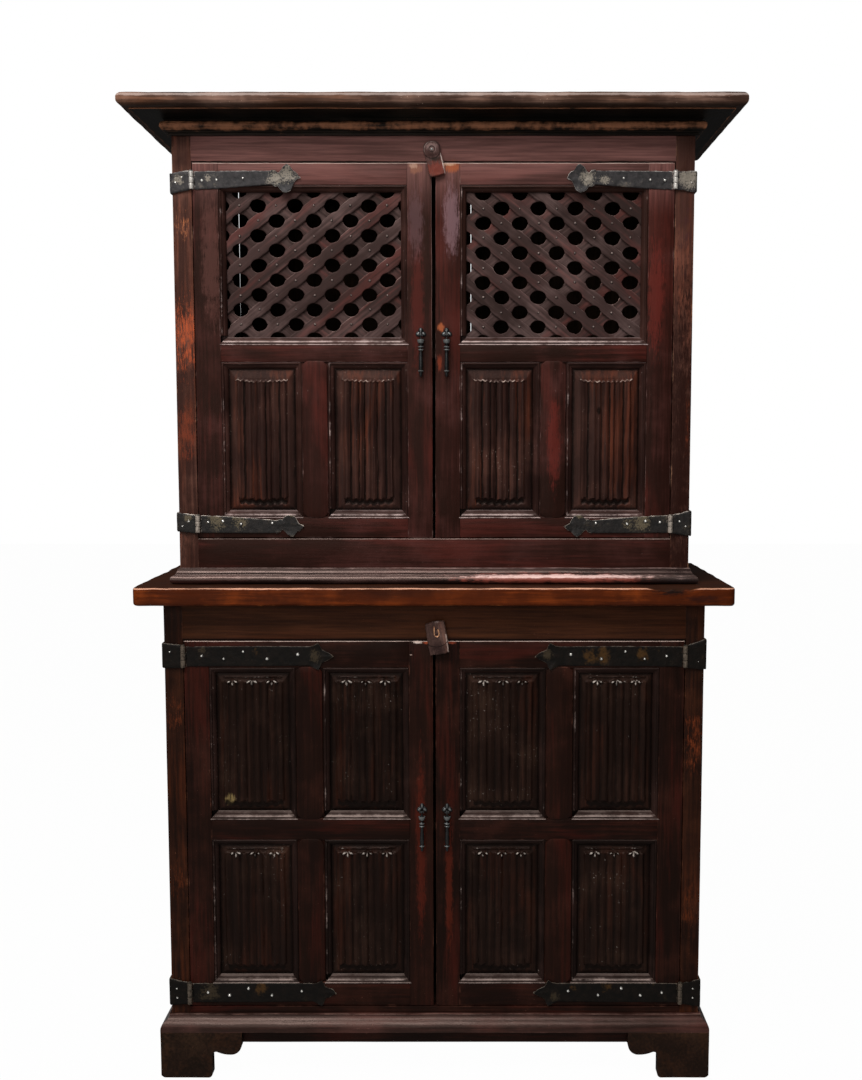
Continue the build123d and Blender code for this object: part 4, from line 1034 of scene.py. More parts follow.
def eased_feet(piece):
    """Round the lower corners of the front feet, as mops and boots do."""
    low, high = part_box("bracket_feet")
    outer, front = high[0], low[1]
    activate(piece)
    bpy.ops.object.mode_set(mode="EDIT")
    bpy.ops.mesh.select_mode(type="EDGE")
    bpy.ops.mesh.select_all(action="DESELECT")
    mesh = bmesh.from_edit_mesh(piece.data)
    for edge in mesh.edges:
        first, last = edge.verts[0].co, edge.verts[1].co
        across = abs(first.y - last.y) > 0.9 * edge.calc_length()
        inner_end = abs(first.x) < outer - FOOT_LENGTH and min(first.y, last.y) < front + 0.01
        edge.select = max(first.z, last.z) < FLOOR_MARGIN and across and inner_end
    mesh.select_flush_mode()
    bmesh.update_edit_mesh(piece.data)
    bpy.ops.mesh.bevel(offset=FOOT_CORNER, segments=5, affect="EDGES", clamp_overlap=True)
    bpy.ops.mesh.select_mode(type="VERT")
    bpy.ops.object.mode_set(mode="OBJECT")
    points = points_of(piece)
    at_side = (np.abs(points[:, 0]) > outer - FLOOR_MARGIN) & (points[:, 2] < FLOOR_MARGIN)
    points[:, 0] -= np.sign(points[:, 0]) * at_side * SIDE_WEAR
    move_points(piece, points)


def build_base():
    """Base moulding and bracket feet."""
    low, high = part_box("base_mouldings")
    height = high[2] - low[2]
    wave = [(0.021, 0.0), (0.021, 0.006), (0.0205, 0.010), (0.0190, 0.0140), (0.0168, 0.0172),
            (0.0140, 0.0198), (0.0112, 0.0220), (0.0088, 0.0240), (0.0068, 0.0262), (0.0056, 0.0285),
            (0.0050, 0.0305), (0.0056, 0.0318), (0.0056, 0.0332), (0.004, height)]
    # Pale marks along the section: a painted sheen across the middle of the wave and a painted highlight
    # along its top, over some rub.
    wear = [0.0, 0.5, 0.1, 0.1, 0.2, 0.35, 0.45, 0.4, 0.2, 0.0, 0.0, 0.1, 0.7, 0.9, 0.6, 0.0]
    section = [(0.0, 0.0), *wave, (0.0, height)]
    moulding("base_moulding", "base_mouldings", section, wear, "lower_posts", 0.021,
             0.0008, 2.0)
    worn_boards("bracket_feet", "feet", "case", bevel=0.0015, cuts=((0, 0.03), (2, 0.02)),
                uneven=0.0005, ease=eased_feet)


# ---------------------------------------------------------------- doors

STICKING = [
    (0.0, 0.0), (0.013, 0.0), (0.013, 0.0018), (0.0125, 0.0030), (0.0112, 0.0048), (0.0094, 0.0064),
    (0.0072, 0.0076), (0.0058, 0.0080), (0.0058, 0.0088), (0.0050, 0.0104), (0.0034, 0.0113),
    (0.0016, 0.0108), (0.0008, 0.0094), (0.0, 0.0094),
]
# Painted highlights on the sticking's profile, one share for each point of its section.
STICKING_HIGHLIGHTS = [0, 0, 0.3, 0.2, 0.1, 0.15, 0.5, 0.3, 0.1, 0.75, 0.95, 0.75, 0.0, 0.0]
# How much painted highlight each run takes, bottom, right, top, left: the bottom run faces up into the
# light and is brightest.
RUN_HIGHLIGHT = (1.0, 0.35, 0.3, 0.55)
SILL_OVERLAP = 0.0028
SILL = [
    (0.0, 0.0105), (0.0, 0.0128), (0.0010, 0.0130), (0.0018, 0.0126), (0.0024, 0.0116),
    (0.0036, 0.0120), (0.0050, 0.0112), (0.0058, 0.0100), (0.0066, 0.0092), (0.0080, 0.0092),
    (0.0094, 0.0082), (0.0104, 0.0066), (0.0110, 0.0056), (0.0126, 0.0050), (0.0142, 0.0036),
    (0.0156, 0.0014), (0.0160, 0.0), (0.0030, 0.0), (0.0030, 0.0105),
]
# Painted highlights along the sill's reeds, one share for each point of its section.
SILL_HIGHLIGHTS = [0, 0.7, 1.0, 0.6, 0.0, 0.5, 0.3, 0.0, 0.0, 0.7, 0.4, 0.0, 0.0, 0.4, 0.3, 0.0, 0, 0, 0]


PANEL_GROOVE = 0.008
PANEL_SETBACK = 0.012
PANEL_DEPTH = 0.022
MITRE_MARGIN = 0.016


def frame_path(x, z, y):
    """Stations round an opening; sections reach inwards from its edge and towards the front."""
    corners = [(x[0], z[0], 1, 1), (x[1], z[0], -1, 1), (x[1], z[1], -1, -1), (x[0], z[1], 1, -1)]
    sides = [Vector((0, 0, 1)), Vector((-1, 0, 0)), Vector((0, 0, -1)), Vector((1, 0, 0))]
    front = Vector((0, -1, 0))
    stations = []
    distance = 0.0
    for first, last, side, wear in zip(corners, corners[1:] + corners[:1], sides, RUN_HIGHLIGHT):
        start, end = Vector((first[0], y, first[1])), Vector((last[0], y, last[1]))
        stations.append((start, Vector((first[2], 0, first[3])), front, distance, wear))
        stations += side_stations(start, end, side, front, distance, MITRE_MARGIN, wear)
        distance += (end - start).length
    return stations


def sill(label, x, z, y, seed):
    """The reeded and mitred moulding at the foot of an opening, planted on the rail below it."""
    front = Vector((0, -1, 0))
    low = Vector((x[0] - SILL_OVERLAP, y, z[0] - SILL_OVERLAP))
    high = Vector((x[1] + SILL_OVERLAP, y, z[0] - SILL_OVERLAP))
    stations = [(low, Vector((1, 0, 1)), front, 0.0, WORN)]
    length = (high - low).length
    count = int(length / 0.02)
    for number in range(count + 1):
        share = 0.12 + 0.76 * number / count
        stations.append((low.lerp(high, share), Vector((0, 0, 1)), front, length * share, WORN))
    stations.append((high, Vector((-1, 0, 1)), front, length, WORN))
    return sweep(label, SILL, stations, wear=SILL_HIGHLIGHTS, uneven=0.00035, seed=seed)


def without_groove(low, high):
    """The opening, as an (x, z) pair, that a board in a groove shows in."""
    return tuple((low[axis] + PANEL_GROOVE, high[axis] - PANEL_GROOVE) for axis in (0, 2))


def door_openings(door):
    """Panel openings of a door, from its boards."""
    return [without_groove(low, high) for low, high in islands_boxes(door + "_panels")]


def islands_boxes(node):
    """Low and high corners of each separate solid of a CAD node."""
    piece = copied(node, "measured")
    points = points_of(piece)
    numbers = islands(piece)
    boxes = []
    for number in range(numbers.max() + 1):
        chosen = points[numbers == number]
        boxes.append((chosen.min(0), chosen.max(0)))
    bpy.data.objects.remove(piece)
    return boxes


def ridge(position, centre, width):
    """Sharp-crested roll of height 1."""
    return np.clip(1 - np.abs(position - centre) / width, 0, 1) ** 0.6


FOLD_BASE = 0.32


def fold_profile(across, seed, folds):
    """Height of the carved folds across a panel, 0 to 1, for across from -1 to 1."""
    height = np.full_like(across, FOLD_BASE)
    for index, (centre, width, size) in enumerate(folds):
        drift = 0.03 * math.sin(seed * 5.1 + index * 2.3)
        crest = FOLD_BASE + (size - FOLD_BASE) * ridge(across, centre + drift, width)
        height = np.maximum(height, crest)
    groove = np.zeros_like(across)
    for index in range(len(folds) - 1):
        middle = (folds[index][0] + folds[index + 1][0]) / 2
        groove = np.maximum(groove, ridge(across, middle, 0.05))
    return height - 0.3 * groove


UPPER_FOLDS = [
    (-0.93, 0.12, 0.95), (-0.52, 0.14, 0.85), (-0.27, 0.07, 1.0), (0.0, 0.16, 0.8), (0.27, 0.07, 1.0),
    (0.52, 0.14, 0.85), (0.93, 0.12, 0.95),
]
LOWER_FOLDS = [
    (-0.95, 0.10, 0.9), (-0.66, 0.12, 0.85), (-0.38, 0.10, 0.95), (-0.12, 0.08, 0.9), (0.14, 0.10, 0.9),
    (0.40, 0.10, 0.95), (0.68, 0.12, 0.85), (0.95, 0.10, 0.9),
]


def rows_between(low, high, dense, fine, coarse):
    """Heights that are close together near both ends and apart in the middle."""
    lower = np.arange(low, low + dense, fine)
    upper = np.arange(high, high - dense, -fine)[::-1]
    middle = np.linspace(lower[-1], upper[0], max(3, int((upper[0] - lower[-1]) / coarse)))[1:-1]
    return np.concatenate([lower, middle, upper])


def palmettes(px, pz, roots, size):
    """Height from 0 to 1 of small three-petalled leaves that hang from their roots, and of their tips."""
    leaf_height = np.zeros_like(px)
    tips = np.zeros_like(px)
    for root_x, root_z in roots:
        for lean in (-58, 0, 58):
            turn = math.radians(lean)
            right = (px - root_x) * math.cos(turn) - (root_z - pz) * math.sin(turn)
            down = (px - root_x) * math.sin(turn) + (root_z - pz) * math.cos(turn)
            petal = np.clip(1 - np.hypot(right / (size * 0.36), (down - size) / size), 0, 1) ** 0.5
            leaf_height = np.maximum(leaf_height, petal)
            tips = np.maximum(tips, petal * (0.7 + 0.3 * (down > size)))
    return leaf_height, tips


PANEL_LAP = 0.006
PANEL_BORDER = 0.013
PANEL_ENDS = 0.056


def linenfold(label, x, z, back_y, front_y, style, seed):
    """A carved panel: bevelled ground, raised field, vertical folds and a carved head."""
    upper = style == "upper"
    columns = np.linspace(x[0] - PANEL_LAP, x[1] + PANEL_LAP, 112)
    rows = rows_between(z[0] - PANEL_LAP, z[1] + PANEL_LAP, PANEL_ENDS, 0.0013, 0.014)
    piece, column, row = grid(label, len(columns), len(rows))
    px, pz = columns[column], rows[row]
    inner = (x[0] + PANEL_BORDER, x[1] - PANEL_BORDER)
    bottom, top = z[0] + PANEL_BORDER, z[1] - PANEL_BORDER
    margin = 0.0185 if upper else 0.0150
    centre, half = sum(inner) / 2, (inner[1] - inner[0]) / 2 - margin
    wobble = sampled(px, pz, 40.0, seed)
    shiver = sampled(px, pz * 0.4, 190.0, seed + 3.0)
    across = (px - centre + 0.0014 * wobble) / half
    side = np.minimum(px - inner[0], inner[1] - px) / 0.0130
    head = (top - pz) / 0.0190
    foot = (pz - bottom) / 0.0110
    ground = np.clip(np.minimum(np.minimum(side, head), foot), 0, 1) * 0.0048
    crest = fold_profile(across, seed, UPPER_FOLDS if upper else LOWER_FOLDS)
    jag = 0.0032 * np.abs(((across * 5.3 + 0.3 * math.sin(seed)) % 1.0) * 2 - 1) + 0.0016 * wobble
    if upper:
        head_line = top - 0.0215 - jag - 0.0030 * (1 - across ** 2)
    else:
        head_line = top - 0.0165 + 0.0008 * wobble
    foot_line = bottom + (0.0235 if upper else 0.0225)
    foot_line = foot_line - 0.0025 * np.cos(across * 2.0) + 0.0018 * np.sin(across * 21.0 + seed)
    foot_line = foot_line + 0.001 * wobble
    inside = np.clip((head_line - pz) / 0.0016, 0, 1) * np.clip((pz - foot_line) / 0.0012, 0, 1)
    inside *= np.clip((1.04 - np.abs(across)) / 0.05, 0, 1)
    height = ground + inside * (crest * (0.0060 if upper else 0.0045) + 0.0008)
    over_folds = np.clip((1.02 - np.abs(across)) / 0.06, 0, 1)
    hollow = np.clip(1 - np.abs(foot_line - 0.0062 - pz) / 0.0062, 0, 1) ** 0.5
    undercut = over_folds * hollow * (pz < foot_line)
    height -= undercut * 0.0030
    # The highest crests are marked lighter: partly worn wood, partly painted highlight.
    wear = inside * (np.clip((crest - 0.72) * 3.0, 0, 1) * 0.26 + shiver * 0.20)
    hem = np.clip(1 - (pz - foot_line) / 0.010, 0, 1)
    wear = np.maximum(wear, inside * hem * (0.28 + 0.3 * shiver))
    # Painted shade: darker towards the sides, head and foot of the sunk ground, under the folds' ends and
    # in the grooves between the folds.
    grime = np.clip(1.15 - np.minimum(np.minimum(side * 1.3, head * 2.2), foot), 0, 1) * 0.8
    grime = np.maximum(grime, undercut * 1.1)
    grime = np.maximum(grime, inside * np.clip((0.42 - crest) * 3.4, 0, 1) * (0.9 if upper else 0.6))
    if upper:
        # The lip under the head and the sloping head above it are painted highlights where light from above
        # falls; the band just under the lip is painted shade.
        lip = np.clip(1 - np.abs(pz - head_line) / 0.0026, 0, 1) * (np.abs(across) < 1.08)
        height += lip * 0.0022
        slope = np.clip((pz - head_line) / 0.004, 0, 1) * np.clip((top - 0.003 - pz) / 0.004, 0, 1)
        slope *= np.clip((1.28 - np.abs(across)) / 0.12, 0, 1)
        head_rub_and_glint = np.maximum(lip * (0.85 + 0.5 * shiver), slope * (0.05 + 0.35 * shiver))
        wear = np.maximum(wear, head_rub_and_glint)
        under_lip = np.clip(1 - np.abs(head_line - 0.0040 - pz) / 0.0022, 0, 1) * over_folds
        grime = np.maximum(grime * (1 - slope), under_lip * 0.7)
    else:
        cord_line = top - 0.0080 + 0.0008 * wobble
        cord = np.clip(1 - np.abs(pz - cord_line) / 0.0024, 0, 1) * (np.abs(across) < 0.98)
        height += cord * 0.0028
        wear = np.maximum(wear, cord * (0.50 + 0.5 * shiver))
        roots = [(centre + number * half * 0.66 + 0.001 * math.sin(seed * 3.0 + number), top - 0.0125)
                 for number in (-1, 0, 1)]
        petals, tips = palmettes(px, pz, roots, 0.0072)
        height = np.maximum(height, ground + petals * 0.0090)
        wear = np.maximum(wear, tips * 1.25)
        # Painted shade round the petals.
        around = palmettes(px, pz, roots, 0.0086)[0]
        grime = np.maximum(grime * (1 - cord), np.clip(around * 1.6, 0, 1) * (petals < 0.15))
    move_points(piece, np.column_stack([px, front_y - height, pz]))
    put_attribute(piece, "grime", "FLOAT", grime)
    activate(piece)
    bpy.ops.object.mode_set(mode="EDIT")
    face_outwards()
    bpy.ops.mesh.region_to_loop()
    bpy.ops.mesh.extrude_edges_move(TRANSFORM_OT_translate={"value": (0, back_y - front_y, 0)})
    bpy.ops.mesh.edge_face_add()
    face_outwards()
    bpy.ops.object.mode_set(mode="OBJECT")
    final = points_of(piece)
    grain = np.column_stack([final[:, 2], final[:, 0], final[:, 1]])
    wear = np.concatenate([wear, np.zeros(len(final) - len(wear))])
    return mark_shape(piece, grain, wear, tone=(seed * 0.618) % 1.0)


BOARD_STEP = 0.05


def board(label, low, high, bevel=0.0014, corner=0.0, uneven=0.0003):
    """A planed board between two corners; corner rounds the ends of its face."""
    deselect()
    middle = [(first + last) / 2 for first, last in zip(low, high)]
    size = [last - first for first, last in zip(low, high)]
    bpy.ops.mesh.primitive_cube_add(size=1.0, location=middle, scale=size)
    piece = named(label)
    settle(piece)
    if corner:
        bpy.ops.object.mode_set(mode="EDIT")
        bpy.ops.mesh.select_mode(type="EDGE")
        bpy.ops.mesh.select_all(action="DESELECT")
        mesh = bmesh.from_edit_mesh(piece.data)
        for edge in mesh.edges:
            run = edge.verts[0].co - edge.verts[1].co
            edge.select = abs(run.y) > abs(run.x) + abs(run.z)
        mesh.select_flush_mode()
        bmesh.update_edit_mesh(piece.data)
        bpy.ops.mesh.bevel(offset=corner, segments=7, affect="EDGES")
        bpy.ops.object.mode_set(mode="OBJECT")
    rounded(piece, bevel)
    sliced(piece, int(np.argmax(size)), BOARD_STEP)
    return unevened(piece, uneven)


MUNTIN_SETBACK = 0.0035
MUNTIN_PROUD = 0.0014
MUNTIN_OVERLAP = 0.0026


def door_boards(door, openings):
    """Rails and muntins of one door, worked out from its openings."""
    stiles = sorted(islands_boxes(door + "_stiles"), key=lambda box: box[0][0])
    x = (stiles[0][1][0], stiles[1][0][0])
    y = (stiles[0][0][1], stiles[0][1][1])
    bottom, top = stiles[0][0][2], stiles[0][1][2]
    rows = sorted({(round(float(z[0]), 4), round(float(z[1]), 4)) for _, z in openings})
    levels = [bottom] + [value for row in rows for value in row] + [top]
    boards = []
    for index in range(0, len(levels), 2):
        low, high = (x[0], y[0], levels[index]), (x[1], y[1], levels[index + 1])
        boards.append(board(f"{door}_rail{index}", low, high))
    for row in rows:
        columns = sorted(span for span, z in openings if abs(z[0] - row[0]) < 0.001)
        for (_, left), (right, _) in zip(columns, columns[1:]):
            low, high = (left, y[0] + MUNTIN_SETBACK, row[0]), (right, y[1], row[1])
            boards.append(board(f"{door}_muntin", low, high))
            low = (left + 0.001, y[0] - MUNTIN_PROUD, row[0] - MUNTIN_OVERLAP)
            high = (right - 0.001, y[0] + 0.008, row[1] + MUNTIN_OVERLAP)
            face = board(f"{door}_muntin_face", low, high, bevel=0.0024, corner=0.016)
            boards.append(rub_sides(face))
    return boards


LATTICE_PITCH = (0.0745, 0.059)
LATTICE_SLOPE = math.atan2(LATTICE_PITCH[1], LATTICE_PITCH[0])
RIGHT_SHIFT = (0.0063, 0.0050)
HOLE_STRETCH = 1.16
SLAT_GAP = 0.0001
SLAT_SECTION = ((0.0, 0.0), (0.8, 0.00005), (0.93, 0.0003), (1.0, 0.0011))


def lattice_middle(door):
    """The point that the lattice's pattern is centred on; the right one sits a little off centre."""
    low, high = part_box(door + "_lattice")
    aside, down = (0.0, 0.0) if "left" in door else RIGHT_SHIFT
    return (low[0] + high[0]) / 2 + aside, (low[2] + high[2] + LATTICE_PITCH[1]) / 2 - down


def hole_reach(run, edge, lean, wide, tall):
    """How far an oval hole reaches from its centre towards a slat that passes it, and 0 beside it."""
    cosine, sine = math.cos(LATTICE_SLOPE), math.sin(LATTICE_SLOPE)
    square = (sine / wide) ** 2 + (cosine / tall) ** 2
    skew = lean * run * sine * cosine * (1 / tall ** 2 - 1 / wide ** 2)
    rest = (run * cosine / wide) ** 2 + (run * sine / tall) ** 2 - 1
    under = np.clip(skew ** 2 - square * rest, 0, None)
    return np.where(under > 0, (np.sqrt(under) + edge * skew) / square, 0.0)


def slat(label, foot, lean, reach, face, seed):
    """A hand-sawn slat whose edges are scalloped round the lattice's holes; lean is 1 or -1."""
    cosine, sine = math.cos(LATTICE_SLOPE), math.sin(LATTICE_SLOPE)
    half_step = math.hypot(*LATTICE_PITCH) / 2
    offset, aside = LATTICE_PITCH[0] / 2 * cosine, LATTICE_PITCH[0] / 2 * sine
    along = np.arange(reach[0], reach[1], 0.0021)
    shares = np.array([-1.0, -0.93, -0.8, -0.3, 0.3, 0.8, 0.93, 1.0])
    piece, column, row = grid(label, len(along), len(shares))
    run, share = along[column], shares[row]
    widths = {}
    for edge in (-1, 1):
        width = np.full(len(along), sizes().slat_width / 2)
        width += 0.0005 * np.array([noise.noise(Vector((value * 60, seed, edge))) for value in along])
        for step in range(-16, 17):
            jitter = math.sin(step * 5.7 + seed * 3.1 + edge)
            middle = half_step * step - lean * edge * offset + jitter * 0.0009
            radius = sizes().lattice_hole + 0.0005 * math.sin(step * 9.1 + seed)
            bite = hole_reach(along - middle, edge, lean, radius * HOLE_STRETCH, radius)
            width = np.where(bite > 0, np.minimum(width, aside - bite), width)
        widths[edge] = width
    across = np.where(share > 0, share * widths[1][column], share * widths[-1][column])
    drop = np.interp(np.abs(share), *zip(*SLAT_SECTION))
    drop = drop + 0.00035 * np.abs(sampled(run, across, 30.0, seed))
    drop = drop + 0.0002 * np.abs(sampled(run, across, 120.0, seed))
    x = foot[0] + run * cosine - lean * across * sine
    z = foot[1] + lean * run * sine + across * cosine
    move_points(piece, np.column_stack([x, face + drop, z]))
    grain = np.column_stack([run + seed, across, drop])
    # Painted shadow along the slat's lower edge, where it steps down to the layer behind.
    shade = np.clip(-across / sizes().slat_width * 3.2 - 0.9, 0, 1) * 0.5
    # A painted highlight: a thin glint along the slat's very edges, round the holes too.
    wear = np.clip((share - 0.88) * 9, 0, 1) * 0.75
    mark_shape(piece, grain, wear, tone=(seed * 0.618) % 1.0)
    put_attribute(piece, "grime", "FLOAT", shade)
    return applied(piece, "SOLIDIFY", thickness=sizes().slat_thickness - 2 * SLAT_GAP, offset=-1.0)


def trimmed(piece, low, high):
    """Saw a piece off at the limits of its opening."""
    activate(piece)
    bpy.ops.object.mode_set(mode="EDIT")
    cuts = (((low[0], 0, 0), (-1, 0, 0)), ((high[0], 0, 0), (1, 0, 0)),
            ((0, 0, low[2]), (0, 0, -1)), ((0, 0, high[2]), (0, 0, 1)))
    for place, heading in cuts:
        bpy.ops.mesh.select_all(action="SELECT")
        bpy.ops.mesh.bisect(plane_co=place, plane_no=heading, use_fill=True, clear_outer=True)
    bpy.ops.object.mode_set(mode="OBJECT")
    return piece


def lattice(door):
    """Two crossed layers of scalloped slats in a door's upper opening."""
    low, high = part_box(door + "_lattice")
    centre_x, centre_z = lattice_middle(door)
    cosine, sine = math.cos(LATTICE_SLOPE), math.sin(LATTICE_SLOPE)
    front_lean = 1 if "left" in door else -1
    spare = 0.016
    edges_x, edges_z = ((low[axis] - spare, high[axis] + spare) for axis in (0, 2))
    faces = (low[1] + SLAT_GAP, low[1] + sizes().slat_thickness + SLAT_GAP)
    slats = []
    for lean, face in zip((front_lean, -front_lean), faces):
        for index in range(-9, 9):
            foot = (centre_x + (index + 0.5) * LATTICE_PITCH[0], centre_z)
            ends_x = sorted((edge - foot[0]) / cosine for edge in edges_x)
            ends_z = sorted(lean * (edge - foot[1]) / sine for edge in edges_z)
            reach = (max(ends_x[0], ends_z[0]), min(ends_x[1], ends_z[1]))
            if reach[1] - reach[0] > 0.04:
                slats.append(slat(f"{door}_slat", foot, lean, reach, face, index * 1.37 + lean * 4.1))
    return trimmed(join(slats, door + "_lattice.slats"), low, high)


EDGE_MARGIN = 0.0035


def shrink_meeting_edge(piece, door):
    """Draw the meeting stile's edge back where the wood has shrunk, and rub its upper half bright."""
    side = -1 if "left" in door else 1
    edge = side * (points_of(piece)[:, 0] * side).min()
    activate(piece)
    bpy.ops.object.mode_set(mode="EDIT")
    bpy.ops.mesh.select_all(action="SELECT")
    bpy.ops.mesh.bisect(plane_co=(edge + side * EDGE_MARGIN, 0, 0), plane_no=(1, 0, 0))
    bpy.ops.object.mode_set(mode="OBJECT")
    points = points_of(piece)
    inwards = (points[:, 0] - edge) * side
    share = (points[:, 2] - points[:, 2].min()) / np.ptp(points[:, 2])
    near = inwards < EDGE_MARGIN - 0.0002
    gap = 0.0006 + 0.0018 * share if "upper" in door else 0.0009
    points[:, 0] += side * near * gap
    move_points(piece, points)
    wear = near * np.clip((share - 0.35) * 4, 0, 1) * (1.3 if door == "door_upper_left" else 0.55)
    put_attribute(piece, "wear", "FLOAT", wear)


def build_doors():
    """Framed doors with their mouldings, carved panels and lattices."""
    for door in DOORS:
        stage = "upper" if "upper" in door else "lower"
        stiles = worn_boards(door + "_stiles", stage + " frame", door, bevel=sizes().stile_edge,
                             uneven=0.0005, segments=3)
        shrink_meeting_edge(stiles, door)
        panels = door_openings(door)
        openings = list(panels)
        if stage == "upper":
            openings.append(without_groove(*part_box(door + "_lattice")))
        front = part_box(door + "_stiles")[0][1]
        rails = join(door_boards(door, openings), door + "_rails.worn")
        mark_boards(rails, sum(map(ord, door)) % 11)
        dressed(rails, stage + " frame", door, (door + "_rails",))
        strips = [
            sweep(f"{door}_sticking{index}", STICKING, frame_path(x, z, front + PANEL_SETBACK), closed=True,
                  wear=STICKING_HIGHLIGHTS, uneven=0.0003, seed=index + len(door))
            for index, (x, z) in enumerate(openings)]
        strips += [
            sill(f"{door}_sill{index}", x, z, front + PANEL_SETBACK, index * 1.3 + len(door))
            for index, (x, z) in enumerate(openings)]
        mouldings = join(strips, door + "_mouldings.worn")
        dressed(mouldings, stage + " moulding", door, (door + "_mouldings",))
        carvings = [
            linenfold(f"{door}_panel{index}", x, z, front + PANEL_DEPTH, front + PANEL_SETBACK, stage,
                      index * 1.7 + len(door) * 0.31 + ("right" in door))
            for index, (x, z) in enumerate(panels)]
        fields = join(carvings, door + "_panels.carved")
        dressed(fields, stage + " panel", door, (door + "_panels",), smooth=50)
        if stage == "upper":
            dressed(lattice(door), "lattice", door, (door + "_lattice",), smooth=40)


# ---------------------------------------------------------------- iron

KNUCKLE = 0.005
STRAP_START = 0.0058
# Upper and lower edge of a strap, as (along, up), and where its finial begins.
UPPER_OUTLINE = (
    [(0.0, 0.0178), (0.060, 0.0185), (0.158, 0.0190), (0.160, 0.0212), (0.168, 0.0195), (0.172, 0.0150),
     (0.176, 0.0170), (0.182, 0.0255), (0.190, 0.0325), (0.196, 0.0300), (0.199, 0.0250), (0.203, 0.0190),
     (0.209, 0.0165), (0.214, 0.0100), (0.216, 0.0050)],
    [(0.0, -0.0180), (0.060, -0.0155), (0.120, -0.0110), (0.158, -0.0080), (0.163, -0.0095),
     (0.168, -0.0125), (0.172, -0.0105), (0.176, -0.0170), (0.182, -0.0225), (0.190, -0.0235),
     (0.198, -0.0190), (0.202, -0.0100), (0.206, -0.0020), (0.212, 0.0025), (0.216, 0.0050)],
)
LOWER_OUTLINE = (
    [(0.0, 0.0205), (0.150, 0.0212), (0.258, 0.0205), (0.268, 0.0230), (0.277, 0.0284), (0.281, 0.0220),
     (0.284, 0.0140), (0.292, 0.0105), (0.300, 0.0070), (0.308, 0.0)],
    [(0.0, -0.0210), (0.150, -0.0208), (0.258, -0.0192), (0.268, -0.0235), (0.277, -0.0280),
     (0.281, -0.0220), (0.284, -0.0140), (0.292, -0.0100), (0.300, -0.0060), (0.308, 0.0)],
)
STRAPS = {"upper": (UPPER_OUTLINE, 0.152), "lower": (LOWER_OUTLINE, 0.256)}

# For each hinge: how far the leaf's two corners stand off its height, and its crusted and rusty places,
# each as (along, up, radius) from the pin. Places at a negative along are on the leaf. The crust places
# at along 0.190 and 0.186, up 0.020, on the upper bottom straps' finials are painted highlights in the
# crust colour.
HINGE_LOOKS = {
    ("upper", "top", "left"): (
        (-0.004, -0.007),
        [(0.166, 0.004, 0.022), (0.190, 0.010, 0.026), (0.032, 0.006, 0.010), (-0.025, 0, 0.012)], []),
    ("upper", "top", "right"): (
        (-0.001, -0.004), [(0.142, 0.002, 0.017), (0.176, 0.004, 0.022), (-0.025, 0.0, 0.030)], []),
    ("upper", "bottom", "left"): (
        (0.005, 0.004),
        # The spot at along 0.190, up 0.020 is a painted highlight on the finial's top.
        [(0.037, 0.004, 0.026), (0.085, 0.003, 0.024), (0.190, 0.020, 0.012), (-0.02, 0.012, 0.012)], []),
    ("upper", "bottom", "right"): (
        # The spot at along 0.186, up 0.020 is a painted highlight on the finial's top.
        (0.009, -0.006), [(0.056, 0.004, 0.026), (0.088, 0.0, 0.014), (0.186, 0.020, 0.014)], []),
    ("lower", "top", "left"): (
        (0.004, 0.0), [(0.038, 0.014, 0.010), (0.268, 0.0, 0.018)], [(0.150, 0.010, 0.014)]),
    ("lower", "top", "right"): (
        (0.012, -0.004), [(0.282, 0.004, 0.016)],
        [(0.196, 0.0, 0.026), (0.170, 0.004, 0.022), (0.089, 0.007, 0.020)]),
    ("lower", "bottom", "left"): (
        (0.008, -0.002), [(0.042, 0.0, 0.030)], [(0.149, 0.014, 0.020)]),
    ("lower", "bottom", "right"): (
        (0.006, -0.006), [(0.262, -0.010, 0.012)], [(0.152, 0.012, 0.018), (0.223, 0.012, 0.012)]),
}


def sampled(across, up, scale, seed):
    """Smooth noise from -1 to 1 at each point of a surface."""
    places = (Vector((first * scale, second * scale, seed)) for first, second in zip(across, up))
    return np.array([noise.noise(place) for place in places])


def grid(label, columns, rows):
    """A flat upright grid, with the column and row number of each point."""
    deselect()
    bpy.ops.mesh.primitive_grid_add(x_subdivisions=columns - 1, y_subdivisions=rows - 1, size=1.0,
                                    rotation=(math.radians(90), 0, 0))
    piece = named(label)
    settle(piece)
    points = points_of(piece)
    column = np.rint((points[:, 0] + 0.5) * (columns - 1)).astype(int)
    row = np.rint((points[:, 2] + 0.5) * (rows - 1)).astype(int)
    return piece, column, row


def spotted(along, up, places):
    """Strength from 0 to 1 near any of the (along, up, radius) places."""
    strength = np.zeros_like(along)
    for centre, height, radius in places:
        away = np.hypot(along - centre, up - height) / radius
        strength = np.maximum(strength, np.clip(1.25 - away, 0, 1))
    return strength


def forged(piece, shape, mirrored, wear, crust, rust):
    """Bend a grid into a forged plate and give it its thickness and its marks."""
    move_points(piece, shape)
    for name, values in (("wear", wear), ("crust", crust), ("rust", rust)):
        put_attribute(piece, name, "FLOAT", values)
    if mirrored:
        activate(piece)
        bpy.ops.object.mode_set(mode="EDIT")
        bpy.ops.mesh.select_all(action="SELECT")
        bpy.ops.mesh.flip_normals()
        bpy.ops.object.mode_set(mode="OBJECT")
    return applied(piece, "SOLIDIFY", thickness=sizes().plate, offset=-1.0)


